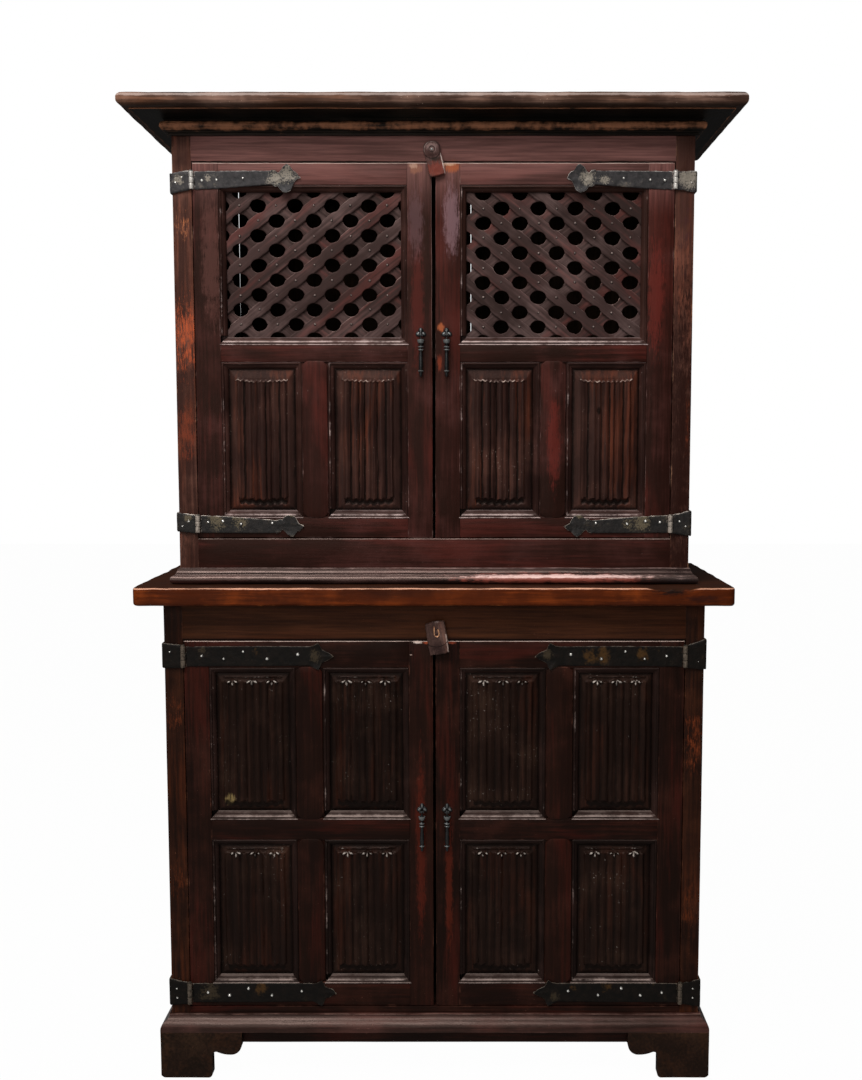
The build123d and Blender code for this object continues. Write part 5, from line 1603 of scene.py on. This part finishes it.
def turned(label, profile, centre, segments, axis="Z"):
    """A turned form: rings of (radius, height) points about an axis through the centre."""
    deselect()
    bpy.ops.mesh.primitive_circle_add(vertices=segments, radius=0.01)
    piece = named(label)
    ring = piece.data.attributes.new("ring", "INT", "POINT")
    ring.data.foreach_set("value", list(range(segments)))
    bpy.ops.object.mode_set(mode="EDIT")
    for number, (radius, height) in enumerate(profile):
        if number:
            bpy.ops.mesh.extrude_region_move()
        else:
            bpy.ops.mesh.select_all(action="SELECT")
        mesh = bmesh.from_edit_mesh(piece.data)
        layer = mesh.verts.layers.int["ring"]
        for vert in mesh.verts:
            if vert.select:
                turn = 2 * math.pi * vert[layer] / segments
                flat = (radius * math.cos(turn), radius * math.sin(turn))
                vert.co = (flat[0], flat[1], height) if axis == "Z" else (flat[0], -height, flat[1])
        bmesh.update_edit_mesh(piece.data)
    bpy.ops.mesh.select_all(action="SELECT")
    bpy.ops.mesh.fill_holes(sides=0)
    face_outwards()
    bpy.ops.object.mode_set(mode="OBJECT")
    move_points(piece, points_of(piece) + np.array(centre))
    return piece


def iron_marks(piece, wear, crust=0.1):
    """Rub and painted highlight, crust and rust of an iron piece; the first is a number or one for each
    point.
    """
    count = len(piece.data.vertices)
    for name, value in (("wear", wear), ("crust", crust), ("rust", 0.0)):
        put_attribute(piece, name, "FLOAT", np.full(count, value))
    return piece


def barrel(label, pin, low, high):
    """One length of a hinge's knuckle, with eased ends."""
    ease = 0.0006
    profile = [(KNUCKLE - 2 * ease, 0.0), (KNUCKLE - ease / 2, ease / 2), (KNUCKLE, 2 * ease),
               (KNUCKLE * 0.97, (high - low) / 2), (KNUCKLE, high - low - 2 * ease),
               (KNUCKLE - ease / 2, high - low - ease / 2), (KNUCKLE - 2 * ease, high - low)]
    piece = turned(label, profile, (pin["x"], pin["y"], low), 20)
    return iron_marks(piece, 0.75, crust=0.15)


def link(label, pin, side, low, high):
    """Web between a knuckle and its plate."""
    x = sorted((pin["x"] + side * 0.0012, pin["x"] + side * 0.0068))
    return board(label, (x[0], pin["y"], low), (x[1], pin["front"], high), bevel=0.0004, uneven=0.0)


def hammered_edge(edge):
    """Height of a plate's face, which is thinned by the hammer close to its edge."""
    return sizes().plate * (1 - 0.45 * np.clip(1 - edge / 0.0012, 0, 1) ** 2)


def strap(pin, outline, neck):
    """Door strap with dents, ragged edges and a curled finial."""
    label = pin["label"] + "_strap"
    top, bottom = outline
    length = top[-1][0]
    plain, finely = np.arange(STRAP_START, neck, 0.004), np.arange(neck, length, 0.0013)
    along = np.concatenate([plain, finely, [length]])
    shares = np.array([0, 0.02, 0.06, 0.13, 0.22, 0.32, 0.42, 0.5, 0.58, 0.68, 0.78, 0.87, 0.94, 0.98, 1.0])
    piece, column, row = grid(label, len(along), len(shares))
    run = along[column]
    high = np.interp(run, *zip(*top))
    low = np.interp(run, *zip(*bottom))
    if pin["level"] == "bottom" and pin["stage"] == "upper":
        shrink = 1 - 0.2 * np.clip((run - neck) / 0.02, 0, 1)
        high, low = -low * shrink, -high * shrink
    ragged = sampled(run, shares[row] * 0.05, 110.0, pin["seed"]) * 0.0009
    up = low + (high - low) * shares[row] + ragged * np.abs(2 * shares[row] - 1) ** 3
    edge = np.minimum(np.minimum(up - low, high - up), length - run + 0.001)
    finial = np.clip((run - neck) / 0.012, 0, 1)
    dents = sampled(run, up, 55.0, pin["seed"] + 3.0) * 0.0005
    curl = finial * np.clip((np.abs(up) - 0.012) / 0.014, 0, 1) ** 1.4 * 0.0028
    tip = np.clip((run - length + 0.016) / 0.016, 0, 1) ** 1.5 * 0.0022
    chased = sampled(run, up, 150.0, pin["seed"] + 5.0) * 0.0007
    vein = finial * (np.exp(-((up / 0.0022) ** 2)) * 0.0008 + chased)
    proud = hammered_edge(edge) + np.abs(dents) + curl + tip + vein
    side = -pin["side"]
    shape = np.column_stack([pin["x"] + side * run, pin["front"] - proud, pin["z"] + up])
    # The upper edge is marked brighter than the lower: painted highlight from light above, over rub.
    upper_edge = np.clip(1 - (high - up) / 0.0016, 0, 1)
    lower_edge = np.clip(1 - (up - low) / 0.0012, 0, 1)
    finial_edge = finial * np.clip(1 - edge / 0.0016, 0, 1)
    wear = np.maximum(upper_edge * 0.9, np.maximum(lower_edge * 0.4, finial_edge * 0.9))
    wear = np.maximum(wear, np.clip(1 - (run - STRAP_START) / 0.004, 0, 1) * 0.6)
    forged(piece, shape, side < 0, wear, spotted(run, up, pin["crust"]), spotted(run, up, pin["rust"]))
    third = (pin["high"] - pin["low"]) / 3
    middle = (pin["low"] + third + 0.0004, pin["high"] - third - 0.0004)
    knuckle = [barrel(label + "_knuckle", pin, *middle), link(label + "_link", pin, side, *middle)]
    return join([piece, *knuckle], label)


def leaf(pin):
    """Post leaf that turns the corner of the case, with a ragged and flared outer edge."""
    label = pin["label"] + "_leaf"
    reach = abs(pin["outer"]) - abs(pin["x"])
    bend = sizes().plate * math.pi / 2
    run_out = reach + bend + 0.048
    front_run = np.arange(0.0056, reach - 0.002, 0.003)
    corner_run = np.arange(reach - 0.002, reach + bend + 0.002, 0.0006)
    side_run = np.arange(reach + bend + 0.002, run_out, 0.004)
    along = np.concatenate([front_run, corner_run, side_run, [run_out]])
    shares = np.array([0, 0.02, 0.06, 0.15, 0.3, 0.5, 0.7, 0.85, 0.94, 0.98, 1.0])
    piece, column, row = grid(label, len(along), len(shares))
    run = along[column]
    half = (pin["high"] - pin["low"]) / 2
    flare = np.clip(run / reach, 0, 1) ** 1.5
    high = half + pin["flare"][0] * flare
    low = -half + pin["flare"][1] * flare
    ragged = sampled(run, shares[row] * 0.05, 90.0, pin["seed"] + 8.0) * 0.0014
    up = low + (high - low) * shares[row] + ragged * np.abs(2 * shares[row] - 1) ** 3
    edge = np.minimum(up - low, high - up)
    dents = np.abs(sampled(run, up, 60.0, pin["seed"] + 9.0)) * 0.0006
    proud = hammered_edge(edge) + dents
    turn = np.clip((run - reach) / sizes().plate, 0, math.pi / 2)
    away = np.minimum(run, reach)
    back = np.clip(run - reach - bend, 0, None)
    x = pin["x"] + pin["side"] * (away + proud * np.sin(turn))
    y = pin["front"] - proud * np.cos(turn) + back
    shape = np.column_stack([x, y, pin["z"] + up])
    # The upper edge is marked bright: painted highlight from light above, over rub.
    upper_edge = np.clip(1 - (high - up) / 0.0016, 0, 1)
    corner = np.clip(1 - np.abs(turn - 0.8) / 0.7, 0, 1)
    wear = np.maximum(upper_edge * 0.85, corner * 0.6)
    crust, rust = spotted(-run, up, pin["crust"]), spotted(-run, up, pin["rust"])
    forged(piece, shape, pin["side"] > 0, wear, crust, rust)
    third = (pin["high"] - pin["low"]) / 3
    pieces = [piece]
    for low_end, high_end in ((pin["low"], pin["low"] + third), (pin["high"] - third, pin["high"])):
        pieces.append(barrel(label + "_knuckle", pin, low_end, high_end))
        pieces.append(link(label + "_link", pin, pin["side"], low_end, high_end))
    return join(pieces, label)


PIN_HEAD = 0.0026


def hinge_pins():
    """Each hinge's place, from the CAD pins, with its look."""
    posts = {"upper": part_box("upper_posts"), "lower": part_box("lower_posts")}
    pins = []
    for number, (low, high) in enumerate(islands_boxes("hinge_pins")):
        x, y = (low[0] + high[0]) / 2, (low[1] + high[1]) / 2
        z = (low[2] + high[2] - PIN_HEAD) / 2
        stage = "upper" if z > posts["upper"][0][2] else "lower"
        post = posts[stage]
        level = "top" if z > (post[0][2] + post[1][2]) / 2 else "bottom"
        side = -1 if x < 0 else 1
        hand = "left" if x < 0 else "right"
        flare, crust, rust = HINGE_LOOKS[(stage, level, hand)]
        pins.append({
            "x": float(x), "y": float(y), "z": float(z),
            "low": float(low[2]), "high": float(high[2] - PIN_HEAD),
            "front": float(post[0][1]), "outer": float(post[0][0] if x < 0 else post[1][0]),
            "stage": stage, "level": level, "side": side, "hand": hand, "seed": number * 4.7 + 1.3,
            "flare": flare, "crust": crust, "rust": rust, "label": f"hinge_{stage}_{level}_{hand}"})
    return pins


DOME = [
    (1.12, 0.0), (1.06, 0.12), (0.92, 0.22), (0.84, 0.34), (0.72, 0.52), (0.52, 0.68), (0.28, 0.78),
    (0.06, 0.82),
]
DOME_SIDES = 14
NAIL_SEAT = 0.0022
LONGEST_NAIL = 0.03


def dome(label, width, height, centre, sides):
    """A low dome that faces the front."""
    return turned(label, [(ring * width, up * height) for ring, up in DOME], centre, sides, axis="Y")


def domes(label, places, radius, tilt=0.0003):
    """Hammered nail heads; a place is (centre, outward axis)."""
    heads = []
    for number, (centre, axis) in enumerate(places):
        size = radius * (1 + 0.12 * math.sin(number * 7.1))
        head = dome(label, size, size, (0, 0, 0), DOME_SIDES)
        points = points_of(head)
        lean = np.array([math.sin(number * 3.3), math.cos(number * 5.9)]) * 0.14
        points[:, 0] *= 1 + 0.10 * math.sin(number * 1.7)
        points[:, 1] += points[:, 0] * lean[0] + points[:, 2] * lean[1]
        if axis == "side":
            outwards = -1 if centre[0] > 0 else 1
            points = np.column_stack([points[:, 1] * outwards, points[:, 0], points[:, 2]])
        move_points(head, points + np.array(centre))
        # A painted highlight: each head is marked from none at its rim to full at its crown, so the shine
        # sits on its centre as a glint.
        wear = np.repeat(np.linspace(0.0, 1.0, len(DOME)), DOME_SIDES)
        put_attribute(head, "wear", "FLOAT", wear[:len(points)])
        heads.append(head)
    piece = join(heads, label)
    return unevened(piece, tilt, 0.004)


def nail_places(node):
    """Places of the short nails of a CAD node."""
    places = []
    for low, high in islands_boxes(node):
        size = high - low
        middle = (low + high) / 2
        if max(size) > LONGEST_NAIL:
            continue
        if size[1] > size[0]:
            places.append(((float(middle[0]), float(low[1] + NAIL_SEAT), float(middle[2])), "front"))
        else:
            edge = low[0] + NAIL_SEAT if middle[0] < 0 else high[0] - NAIL_SEAT
            places.append(((float(edge), float(middle[1]), float(middle[2])), "side"))
    return places


def drop_profile():
    """Turned drop from its stem down: cup, two rings, swelling shaft, ring and pointed end."""
    cup = [(0.0030, -0.0092), (0.0058, -0.0086), (0.0070, -0.0090), (0.0072, -0.0102), (0.0066, -0.0124),
           (0.0058, -0.0150), (0.0046, -0.0172), (0.0030, -0.0188), (0.0024, -0.0200)]
    rings = []
    for height in (-0.0238, -0.0296):
        rings += [(0.0034, height + 0.0022), (0.0050, height + 0.0014), (0.0056, height + 0.0004),
                  (0.0054, height - 0.0006), (0.0036, height - 0.0014)]
    shaft = [(0.0031, -0.0330), (0.0034, -0.0400), (0.0040, -0.0500), (0.0043, -0.0590), (0.0040, -0.0660),
             (0.0032, -0.0690)]
    foot = [(0.0046, -0.0702), (0.0055, -0.0712), (0.0053, -0.0724), (0.0036, -0.0736), (0.0030, -0.0752),
            (0.0034, -0.0774), (0.0028, -0.0806), (0.0014, -0.0832), (0.0003, -0.0838)]
    return [(0.0016, -0.0030), (0.0018, -0.0060), (0.0018, -0.0084), *cup, *rings, *shaft, *foot]


PETAL = 0.0046
PLATE_RISE = 0.0055
PETALS = ((90, 0.0085), (205, 0.0098), (335, 0.0098))


def swung(points, degrees, centre):
    """Points turned upright about the y axis and carried to a centre."""
    turn = math.radians(degrees)
    return np.column_stack([
        centre[0] + points[:, 0] * math.cos(turn) - points[:, 2] * math.sin(turn),
        centre[1] + points[:, 1],
        centre[2] + points[:, 0] * math.sin(turn) + points[:, 2] * math.cos(turn)])


def pull(door):
    """Drop pull: a petal plate with its staple, and a turned drop on an eye."""
    body = door.replace("door", "pull")
    low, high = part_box(door + "_pull_drop")
    x, y, z = (low[0] + high[0]) / 2, (low[1] + high[1]) / 2, high[2] - 0.0042
    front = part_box(door + "_stiles")[0][1]
    drop = turned(door + "_drop", drop_profile(), (x, y, z), 24)
    points = points_of(drop)
    # The drop's widest rims are marked bright: partly rub, partly painted highlight.
    spread = np.hypot(points[:, 0] - x, points[:, 1] - y)
    wear = np.clip((spread - 0.0044) / 0.0010, 0, 1)
    drop = iron_marks(unevened(drop, 0.00025, 0.006), wear)
    deselect()
    bpy.ops.mesh.primitive_torus_add(
        location=(x, y, z), rotation=(0, math.radians(90), 0), major_radius=0.0030,
        minor_radius=0.0012, major_segments=24, minor_segments=10)
    eye = bpy.context.object
    settle(eye)
    iron_marks(eye, 0.5)
    drop = join([drop, eye], door + "_pull_drop.turned")
    dressed(drop, "pull iron", body, (door + "_pull_drop",), smooth=40)
    petals = []
    plate_centre = (x, front, z + PLATE_RISE)
    for angle, long in PETALS:
        petal = dome(door + "_petal", PETAL, PETAL, (0, 0, 0), 16)
        points = points_of(petal)
        points[:, 0] *= long / PETAL * 0.62
        points[:, 1] -= np.clip(points[:, 0], 0, None) * 0.22
        points[:, 0] += long * 0.5
        placed = swung(points, angle, plate_centre)
        move_points(petal, placed)
        # The petals are marked bright where they stand furthest out: partly rub, partly painted highlight.
        petals.append(iron_marks(petal, np.clip((front - placed[:, 1] - 0.0020) / 0.0022, 0, 1)))
    petals.append(iron_marks(dome(door + "_boss", 0.0044, 0.0060, plate_centre, 16), 0.3))
    for step in (-1, 1):
        cheek_x = sorted((x + step * 0.0025, x + step * 0.0046))
        low, high = (cheek_x[0], y - 0.0030, z - 0.0026), (cheek_x[1], front, z + 0.0030)
        cheek = board(door + "_cheek", low, high, bevel=0.0006, uneven=0.0)
        petals.append(iron_marks(cheek, 0.35))
    rod = turned(door + "_rod", [(0.0016, -0.0052), (0.0018, -0.0046), (0.0016, 0.0046), (0.0010, 0.0052)],
                 (0, 0, 0), 12)
    points = points_of(rod)
    move_points(rod, np.column_stack([x + points[:, 2], y + points[:, 0], z + points[:, 1]]))
    petals.append(iron_marks(rod, 0.5))
    plate = join(petals, door + "_pull_plate.petals")
    dressed(plate, "pull iron", door, (door + "_pull_plate",), smooth=40)


def lattice_nails(door):
    """A small nail at each crossing of the lattice, clear of the frame."""
    low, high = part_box(door + "_lattice")
    margin = 0.026
    centre = lattice_middle(door)
    face = low[1] + 0.0004
    places = []
    for across in range(-6, 7):
        for up in range(-14, 15):
            x, z = centre[0] + across * LATTICE_PITCH[0] / 2, centre[1] + up * LATTICE_PITCH[1] / 2
            clear_x = low[0] + margin < x < high[0] - margin
            clear_z = low[2] + margin < z < high[2] - margin
            if (across + up) % 2 and clear_x and clear_z:
                place = (x + 0.001 * math.sin(x * 900), face, z + 0.001 * math.cos(z * 700))
                places.append((place, "front"))
    return domes(door + "_lattice_nails", places, sizes().lattice_nail, 0.0001)


def build_hinge(pin):
    """Strap, leaf and pin of one hinge."""
    material = "lower iron" if pin["stage"] == "lower" else "middle iron"
    if (pin["stage"], pin["level"]) == ("upper", "top"):
        material = "upper iron"
    outline, neck = STRAPS[pin["stage"]]
    door = f"door_{pin['stage']}_{pin['hand']}"
    dressed(strap(pin, outline, neck), material, door, (door + "_straps",), smooth=45)
    dressed(leaf(pin), material, "case", ("hinge_leaves",), smooth=45)
    height = pin["high"] - pin["low"]
    profile = [(0.0024, 0.0), (0.0024, height), (0.0044, height), (0.0046, height + 0.0008),
               (0.0042, height + 0.0017), (0.0030, height + 0.0023), (0.0006, height + PIN_HEAD)]
    rod = turned(pin["label"] + "_pin", profile, (pin["x"], pin["y"], pin["low"]), 18)
    dressed(iron_marks(rod, 0.6), material, "case", ("hinge_pins",))


def short_nails(node, body):
    """The short nails of a CAD node."""
    heads = domes(node + ".domed", nail_places(node), sizes().nail_head)
    dressed(heads, "nail", body, (node,), smooth=60)


def build_iron():
    """Hinges, pulls and nails."""
    for pin in hinge_pins():
        build_hinge(pin)
    for door in DOORS:
        pull(door)
        short_nails(door + "_nails", door)
        if "upper" in door:
            dressed(lattice_nails(door), "lattice nail", door, (), smooth=60)
    short_nails("case_nails", "case")


# ---------------------------------------------------------------- turn buttons

def lump(label, size, centre, turn, round_share):
    """A rough block or ball to carve a button from: a cube with its corners rounded off."""
    deselect()
    bpy.ops.mesh.primitive_cube_add(size=1.0)
    piece = named(label)
    activate(piece)
    bpy.ops.object.mode_set(mode="EDIT")
    bpy.ops.mesh.select_all(action="SELECT")
    bpy.ops.mesh.subdivide(number_cuts=5, smoothness=0.0)
    bpy.ops.object.mode_set(mode="OBJECT")
    points = points_of(piece)
    ball = points / np.maximum(np.linalg.norm(points, axis=1, keepdims=True), 1e-6) * 0.5
    points = points * (1 - round_share) + ball * round_share
    move_points(piece, swung(points * np.array(size), turn, centre))
    return piece


CARVING_VOXEL = 0.0011


def carved(pieces, label, rough):
    """Weld rough lumps into one carved and worn block."""
    piece = join(pieces, label)
    applied(piece, "REMESH", mode="VOXEL", voxel_size=CARVING_VOXEL)
    applied(piece, "SMOOTH", factor=0.5, iterations=3)
    return unevened(unevened(piece, rough, 0.007), rough * 0.4, 0.0025)


def button_marks(piece, pivot, lean, half, head):
    """Grain down the button's length, an edge worn by rubbing, and painted shade round the nail and under
    the head.
    """
    points = points_of(piece) - np.array(pivot)
    turn = math.radians(lean)
    along = points[:, 0] * math.sin(turn) - points[:, 2] * math.cos(turn)
    across = points[:, 0] * math.cos(turn) + points[:, 2] * math.sin(turn)
    grain = np.column_stack([along, across, points[:, 1]])
    edge = np.clip((across - half + 0.003) / 0.002, 0, 1) * (along > 0.008)
    spread = np.hypot(points[:, 0], points[:, 2])
    rim = np.clip(1 - np.abs(spread - head + 0.0015) / 0.002, 0, 1) * (along < head * 0.5)
    # Painted shade: a dark ring round the nail, and under the head.
    shade_mask = np.clip(1 - np.abs(spread - 0.0055) / 0.0025, 0, 1) * 0.9
    neck = np.clip(1 - np.abs(spread - head - 0.0010) / 0.0020, 0, 1) * (along > head * 0.4)
    shade_mask = np.maximum(shade_mask, neck)
    mark_shape(piece, grain, np.maximum(edge, rim * 0.7))
    put_attribute(piece, "grime", "FLOAT", shade_mask)
    return piece


UPPER_LEAN, LOWER_LEAN = 13.0, 9.0


def along_button(pivot, lean, distance):
    """Point at a distance down a button that leans by the degrees from its pivot."""
    turn = math.radians(lean)
    return pivot[0] + math.sin(turn) * distance, pivot[2] - math.cos(turn) * distance


def finish_button(piece, body, pivot, lean, half, head):
    """Plane the button's face and back, and give it its marks and looks."""
    low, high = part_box(body)
    points = points_of(piece)
    points[:, 1] = np.clip(points[:, 1], low[1], high[1])
    move_points(piece, points)
    button_marks(piece, pivot, lean, half, head)
    material = "upper button" if "upper" in body else "lower button"
    dressed(piece, material, body, (body,), smooth=60)


def build_buttons():
    """The two turn buttons: a round-headed one above and a plain worn block below, with their nails."""
    long_nails = [box for box in islands_boxes("case_nails") if (box[1] - box[0])[1] > LONGEST_NAIL]
    pivots = []
    long_nails.sort(key=lambda box: box[0][2])
    for body, nail in zip(("turn_button_lower", "turn_button_upper"), long_nails):
        low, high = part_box(body)
        x, z = (float((nail[0][axis] + nail[1][axis]) / 2) for axis in (0, 2))
        pivots.append((x, (low[1] + high[1]) / 2, z))
    lower, upper = pivots
    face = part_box("turn_button_upper")[0][1]
    head = lump("button_head", (0.0355, 0.0150, 0.0330), (upper[0], upper[1], upper[2] + 0.001), 8, 0.85)
    x, z = along_button(upper, UPPER_LEAN, 0.027)
    tail = lump("button_body", (0.0325, 0.0100, 0.051), (x, upper[1] + 0.0016, z), UPPER_LEAN, 0.12)
    button = carved([head, tail], "turn_button_upper.carved", 0.0006)
    finish_button(button, "turn_button_upper", upper, UPPER_LEAN, 0.0155, 0.0165)
    place = (upper[0], face + 0.0006, upper[2])
    peg = domes("turn_button_upper_nail", [(place, "front")], 0.0030, 0.0002)
    dressed(peg, "nail", "case", ("case_nails",), smooth=60)
    x, z = along_button(lower, LOWER_LEAN, 0.014)
    block = lump("button_block", (0.042, 0.0148, 0.070), (x, lower[1], z), LOWER_LEAN, 0.22)
    button = carved([block], "turn_button_lower.carved", 0.0009)
    finish_button(button, "turn_button_lower", lower, LOWER_LEAN, 0.0190, 0.0300)
    clinch = bent_nail(lower[0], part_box("turn_button_lower")[0][1], lower[2])
    dressed(clinch, "prong", "case", ("case_nails",), smooth=60)


def bent_nail(x, face, z):
    """A nail whose two prongs are hammered down into a hook."""
    radius = 0.0015
    route = [(-0.0040, 0.0115), (-0.0034, 0.0070), (-0.0034, 0.0010), (-0.0036, -0.0050),
             (-0.0014, -0.0098), (0.0026, -0.0108), (0.0062, -0.0082), (0.0068, -0.0030),
             (0.0048, 0.0020), (0.0040, 0.0060)]
    rings = []
    for index, (across, up) in enumerate(route):
        before, after = route[max(index - 1, 0)], route[min(index + 1, len(route) - 1)]
        heading = Vector((after[0] - before[0], 0, after[1] - before[1])).normalized()
        sideways = Vector((-heading.z, 0, heading.x))
        centre = Vector((x + across, face - 0.0002, z + up))
        rings.append((centre, sideways, Vector((0, -1, 0)), index * 0.004, WORN))
    angles = [2 * math.pi * index / 10 for index in range(10)]
    circle = [(radius * math.cos(angle), radius * math.sin(angle)) for angle in angles]
    hook = sweep("turn_button_lower_nail", circle, rings)
    applied(hook, "SUBSURF", levels=1)
    put_attribute(hook, "wear", "FLOAT", np.full(len(hook.data.vertices), 0.7))
    return hook


# ---------------------------------------------------------------- stage

FLOOR_WHITE = 0.985
FLOOR_SIZE = 24.0
SKY = 0.03
KEY = {"place": (-0.9, -2.4, 4.4), "target": (0.0, -0.1, 1.2), "size": (3.2, 1.8), "power": 235.0}
FILL = {"place": (-1.0, -4.2, 2.2), "target": (0.0, 0.0, 0.9), "size": (3.0, 2.4), "power": 55.0}
EYE = (0.059, -2.626, 1.3517)
TILT = 5.1
LENS = 40.33
SENSOR = 36.0
SHIFT = -0.0296


def area_light(name, place, target, size, power):
    """Soft rectangular lamp aimed at a point."""
    lamp = bpy.data.lights.new(name, "AREA")
    lamp.shape = "RECTANGLE"
    lamp.size, lamp.size_y = size
    lamp.energy = power
    holder = bpy.data.objects.new(name, lamp)
    bpy.context.scene.collection.objects.link(holder)
    holder.location = place
    holder.rotation_euler = (Vector(target) - Vector(place)).to_track_quat("-Z", "Y").to_euler()


def seen_directly(tree):
    """1 for what the camera sees, also through glass."""
    path = tree.nodes.new("ShaderNodeLightPath")
    rays = [Signal(tree, path.outputs[f"Is {kind} Ray"]) for kind in ("Camera", "Transmission")]
    return rays[0].higher(rays[1])


def pale_floor():
    """White floor that keeps a faint shadow and throws little light back."""
    finish = Finish("Pale floor")
    finish.set(Base_Color=(0.5, 0.5, 0.5), Roughness=0.9, Specular_IOR_Level=0.0)
    white = finish.tree.nodes.new("ShaderNodeEmission")
    white.inputs["Color"].default_value = (1.0, 1.0, 1.0, 1.0)
    seen = seen_directly(finish.tree)
    mix = finish.tree.nodes.new("ShaderNodeMixShader")
    plug(finish.tree, mix.inputs[0], seen * FLOOR_WHITE)
    plug(finish.tree, mix.inputs[1], Signal(finish.tree, finish.shader.outputs[0]))
    plug(finish.tree, mix.inputs[2], Signal(finish.tree, white.outputs[0]))
    output = next(n for n in finish.tree.nodes if n.type == "OUTPUT_MATERIAL")
    plug(finish.tree, output.inputs["Surface"], Signal(finish.tree, mix.outputs[0]))
    return finish.material


def build_stage():
    """White floor and world, two soft lamps and the camera."""
    scene = bpy.context.scene
    scene.view_settings.view_transform = "Standard"
    deselect()
    bpy.ops.mesh.primitive_plane_add(size=FLOOR_SIZE, location=(0, 0, 0))
    floor = bpy.context.object
    floor.name = "floor"
    floor.data.materials.append(pale_floor())
    world = bpy.data.worlds.new("Studio")
    scene.world = world
    world.use_nodes = True
    tree = world.node_tree
    background = next(n for n in tree.nodes if n.type == "BACKGROUND")
    plug(tree, background.inputs["Strength"], seen_directly(tree) * (1 - SKY) + SKY)
    background.inputs["Color"].default_value = (1.0, 1.0, 1.0, 1.0)
    area_light("Key", **KEY)
    area_light("Fill", **FILL)
    camera = bpy.data.cameras.new("Camera")
    holder = bpy.data.objects.new("Camera", camera)
    scene.collection.objects.link(holder)
    camera.lens = LENS
    camera.sensor_width = SENSOR
    camera.shift_x = SHIFT
    holder.location = EYE
    holder.rotation_euler = (math.radians(90 - TILT), 0.0, 0.0)
    scene.camera = holder


# ---------------------------------------------------------------- operators

class TRASTERO_OT_finishes(bpy.types.Operator):
    """Make the cabinet's materials"""

    bl_idname = "trastero.finishes"
    bl_label = "Finishes"

    def execute(self, context):
        upper_finishes()
        lower_finishes()
        iron_finishes()
        return {"FINISHED"}


class TRASTERO_OT_case(bpy.types.Operator):
    """Build the posts, rails, panels, boards and shelves"""

    bl_idname = "trastero.case"
    bl_label = "Case"

    def execute(self, context):
        build_case()
        return {"FINISHED"}


class TRASTERO_OT_crown(bpy.types.Operator):
    """Build the top board and the cornice"""

    bl_idname = "trastero.crown"
    bl_label = "Crown"

    def execute(self, context):
        build_crown()
        return {"FINISHED"}


class TRASTERO_OT_waist(bpy.types.Operator):
    """Build the waist moulding and the slab"""

    bl_idname = "trastero.waist"
    bl_label = "Waist"

    def execute(self, context):
        build_waist()
        return {"FINISHED"}


class TRASTERO_OT_base(bpy.types.Operator):
    """Build the base moulding and the bracket feet"""

    bl_idname = "trastero.base"
    bl_label = "Base"

    def execute(self, context):
        build_base()
        return {"FINISHED"}


class TRASTERO_OT_doors(bpy.types.Operator):
    """Build the framed doors with their lattices and linenfold panels"""

    bl_idname = "trastero.doors"
    bl_label = "Doors"

    def execute(self, context):
        build_doors()
        return {"FINISHED"}


class TRASTERO_OT_iron(bpy.types.Operator):
    """Build the straps, leaves, pins, nails and pulls"""

    bl_idname = "trastero.iron"
    bl_label = "Ironwork"

    def execute(self, context):
        build_iron()
        return {"FINISHED"}


class TRASTERO_OT_buttons(bpy.types.Operator):
    """Build the two wooden turn buttons"""

    bl_idname = "trastero.buttons"
    bl_label = "Turn buttons"

    def execute(self, context):
        build_buttons()
        return {"FINISHED"}


class TRASTERO_OT_stage(bpy.types.Operator):
    """Set up the floor, the light and the camera"""

    bl_idname = "trastero.stage"
    bl_label = "Stage"

    def execute(self, context):
        build_stage()
        return {"FINISHED"}


class TRASTERO_PT_panel(bpy.types.Panel):
    """The cabinet's settings and operators."""

    bl_idname = "TRASTERO_PT_panel"
    bl_label = "Trastero cabinet"
    bl_space_type = "VIEW_3D"
    bl_region_type = "UI"
    bl_category = "Trastero"

    def draw(self, context):
        for group in (context.scene.trastero_sizes, context.scene.trastero_colours):
            for name in group.__annotations__:
                self.layout.prop(group, name)
        for cls in OPERATORS:
            self.layout.operator(cls.bl_idname)


GROUPS = (TRASTERO_PG_sizes, TRASTERO_PG_colours)
OPERATORS = (
    TRASTERO_OT_finishes, TRASTERO_OT_case, TRASTERO_OT_crown, TRASTERO_OT_waist, TRASTERO_OT_base,
    TRASTERO_OT_doors, TRASTERO_OT_iron, TRASTERO_OT_buttons, TRASTERO_OT_stage,
)


def register():
    for cls in (*GROUPS, *OPERATORS, TRASTERO_PT_panel):
        bpy.utils.register_class(cls)
    bpy.types.Scene.trastero_sizes = bpy.props.PointerProperty(type=TRASTERO_PG_sizes)
    bpy.types.Scene.trastero_colours = bpy.props.PointerProperty(type=TRASTERO_PG_colours)


def unregister():
    del bpy.types.Scene.trastero_colours
    del bpy.types.Scene.trastero_sizes
    for cls in reversed((*GROUPS, *OPERATORS, TRASTERO_PT_panel)):
        bpy.utils.unregister_class(cls)


def main():
    """Build everything in order."""
    register()
    for cls in OPERATORS:
        getattr(bpy.ops.trastero, cls.bl_idname.partition(".")[2])()


if __name__ == "__main__":
    main()
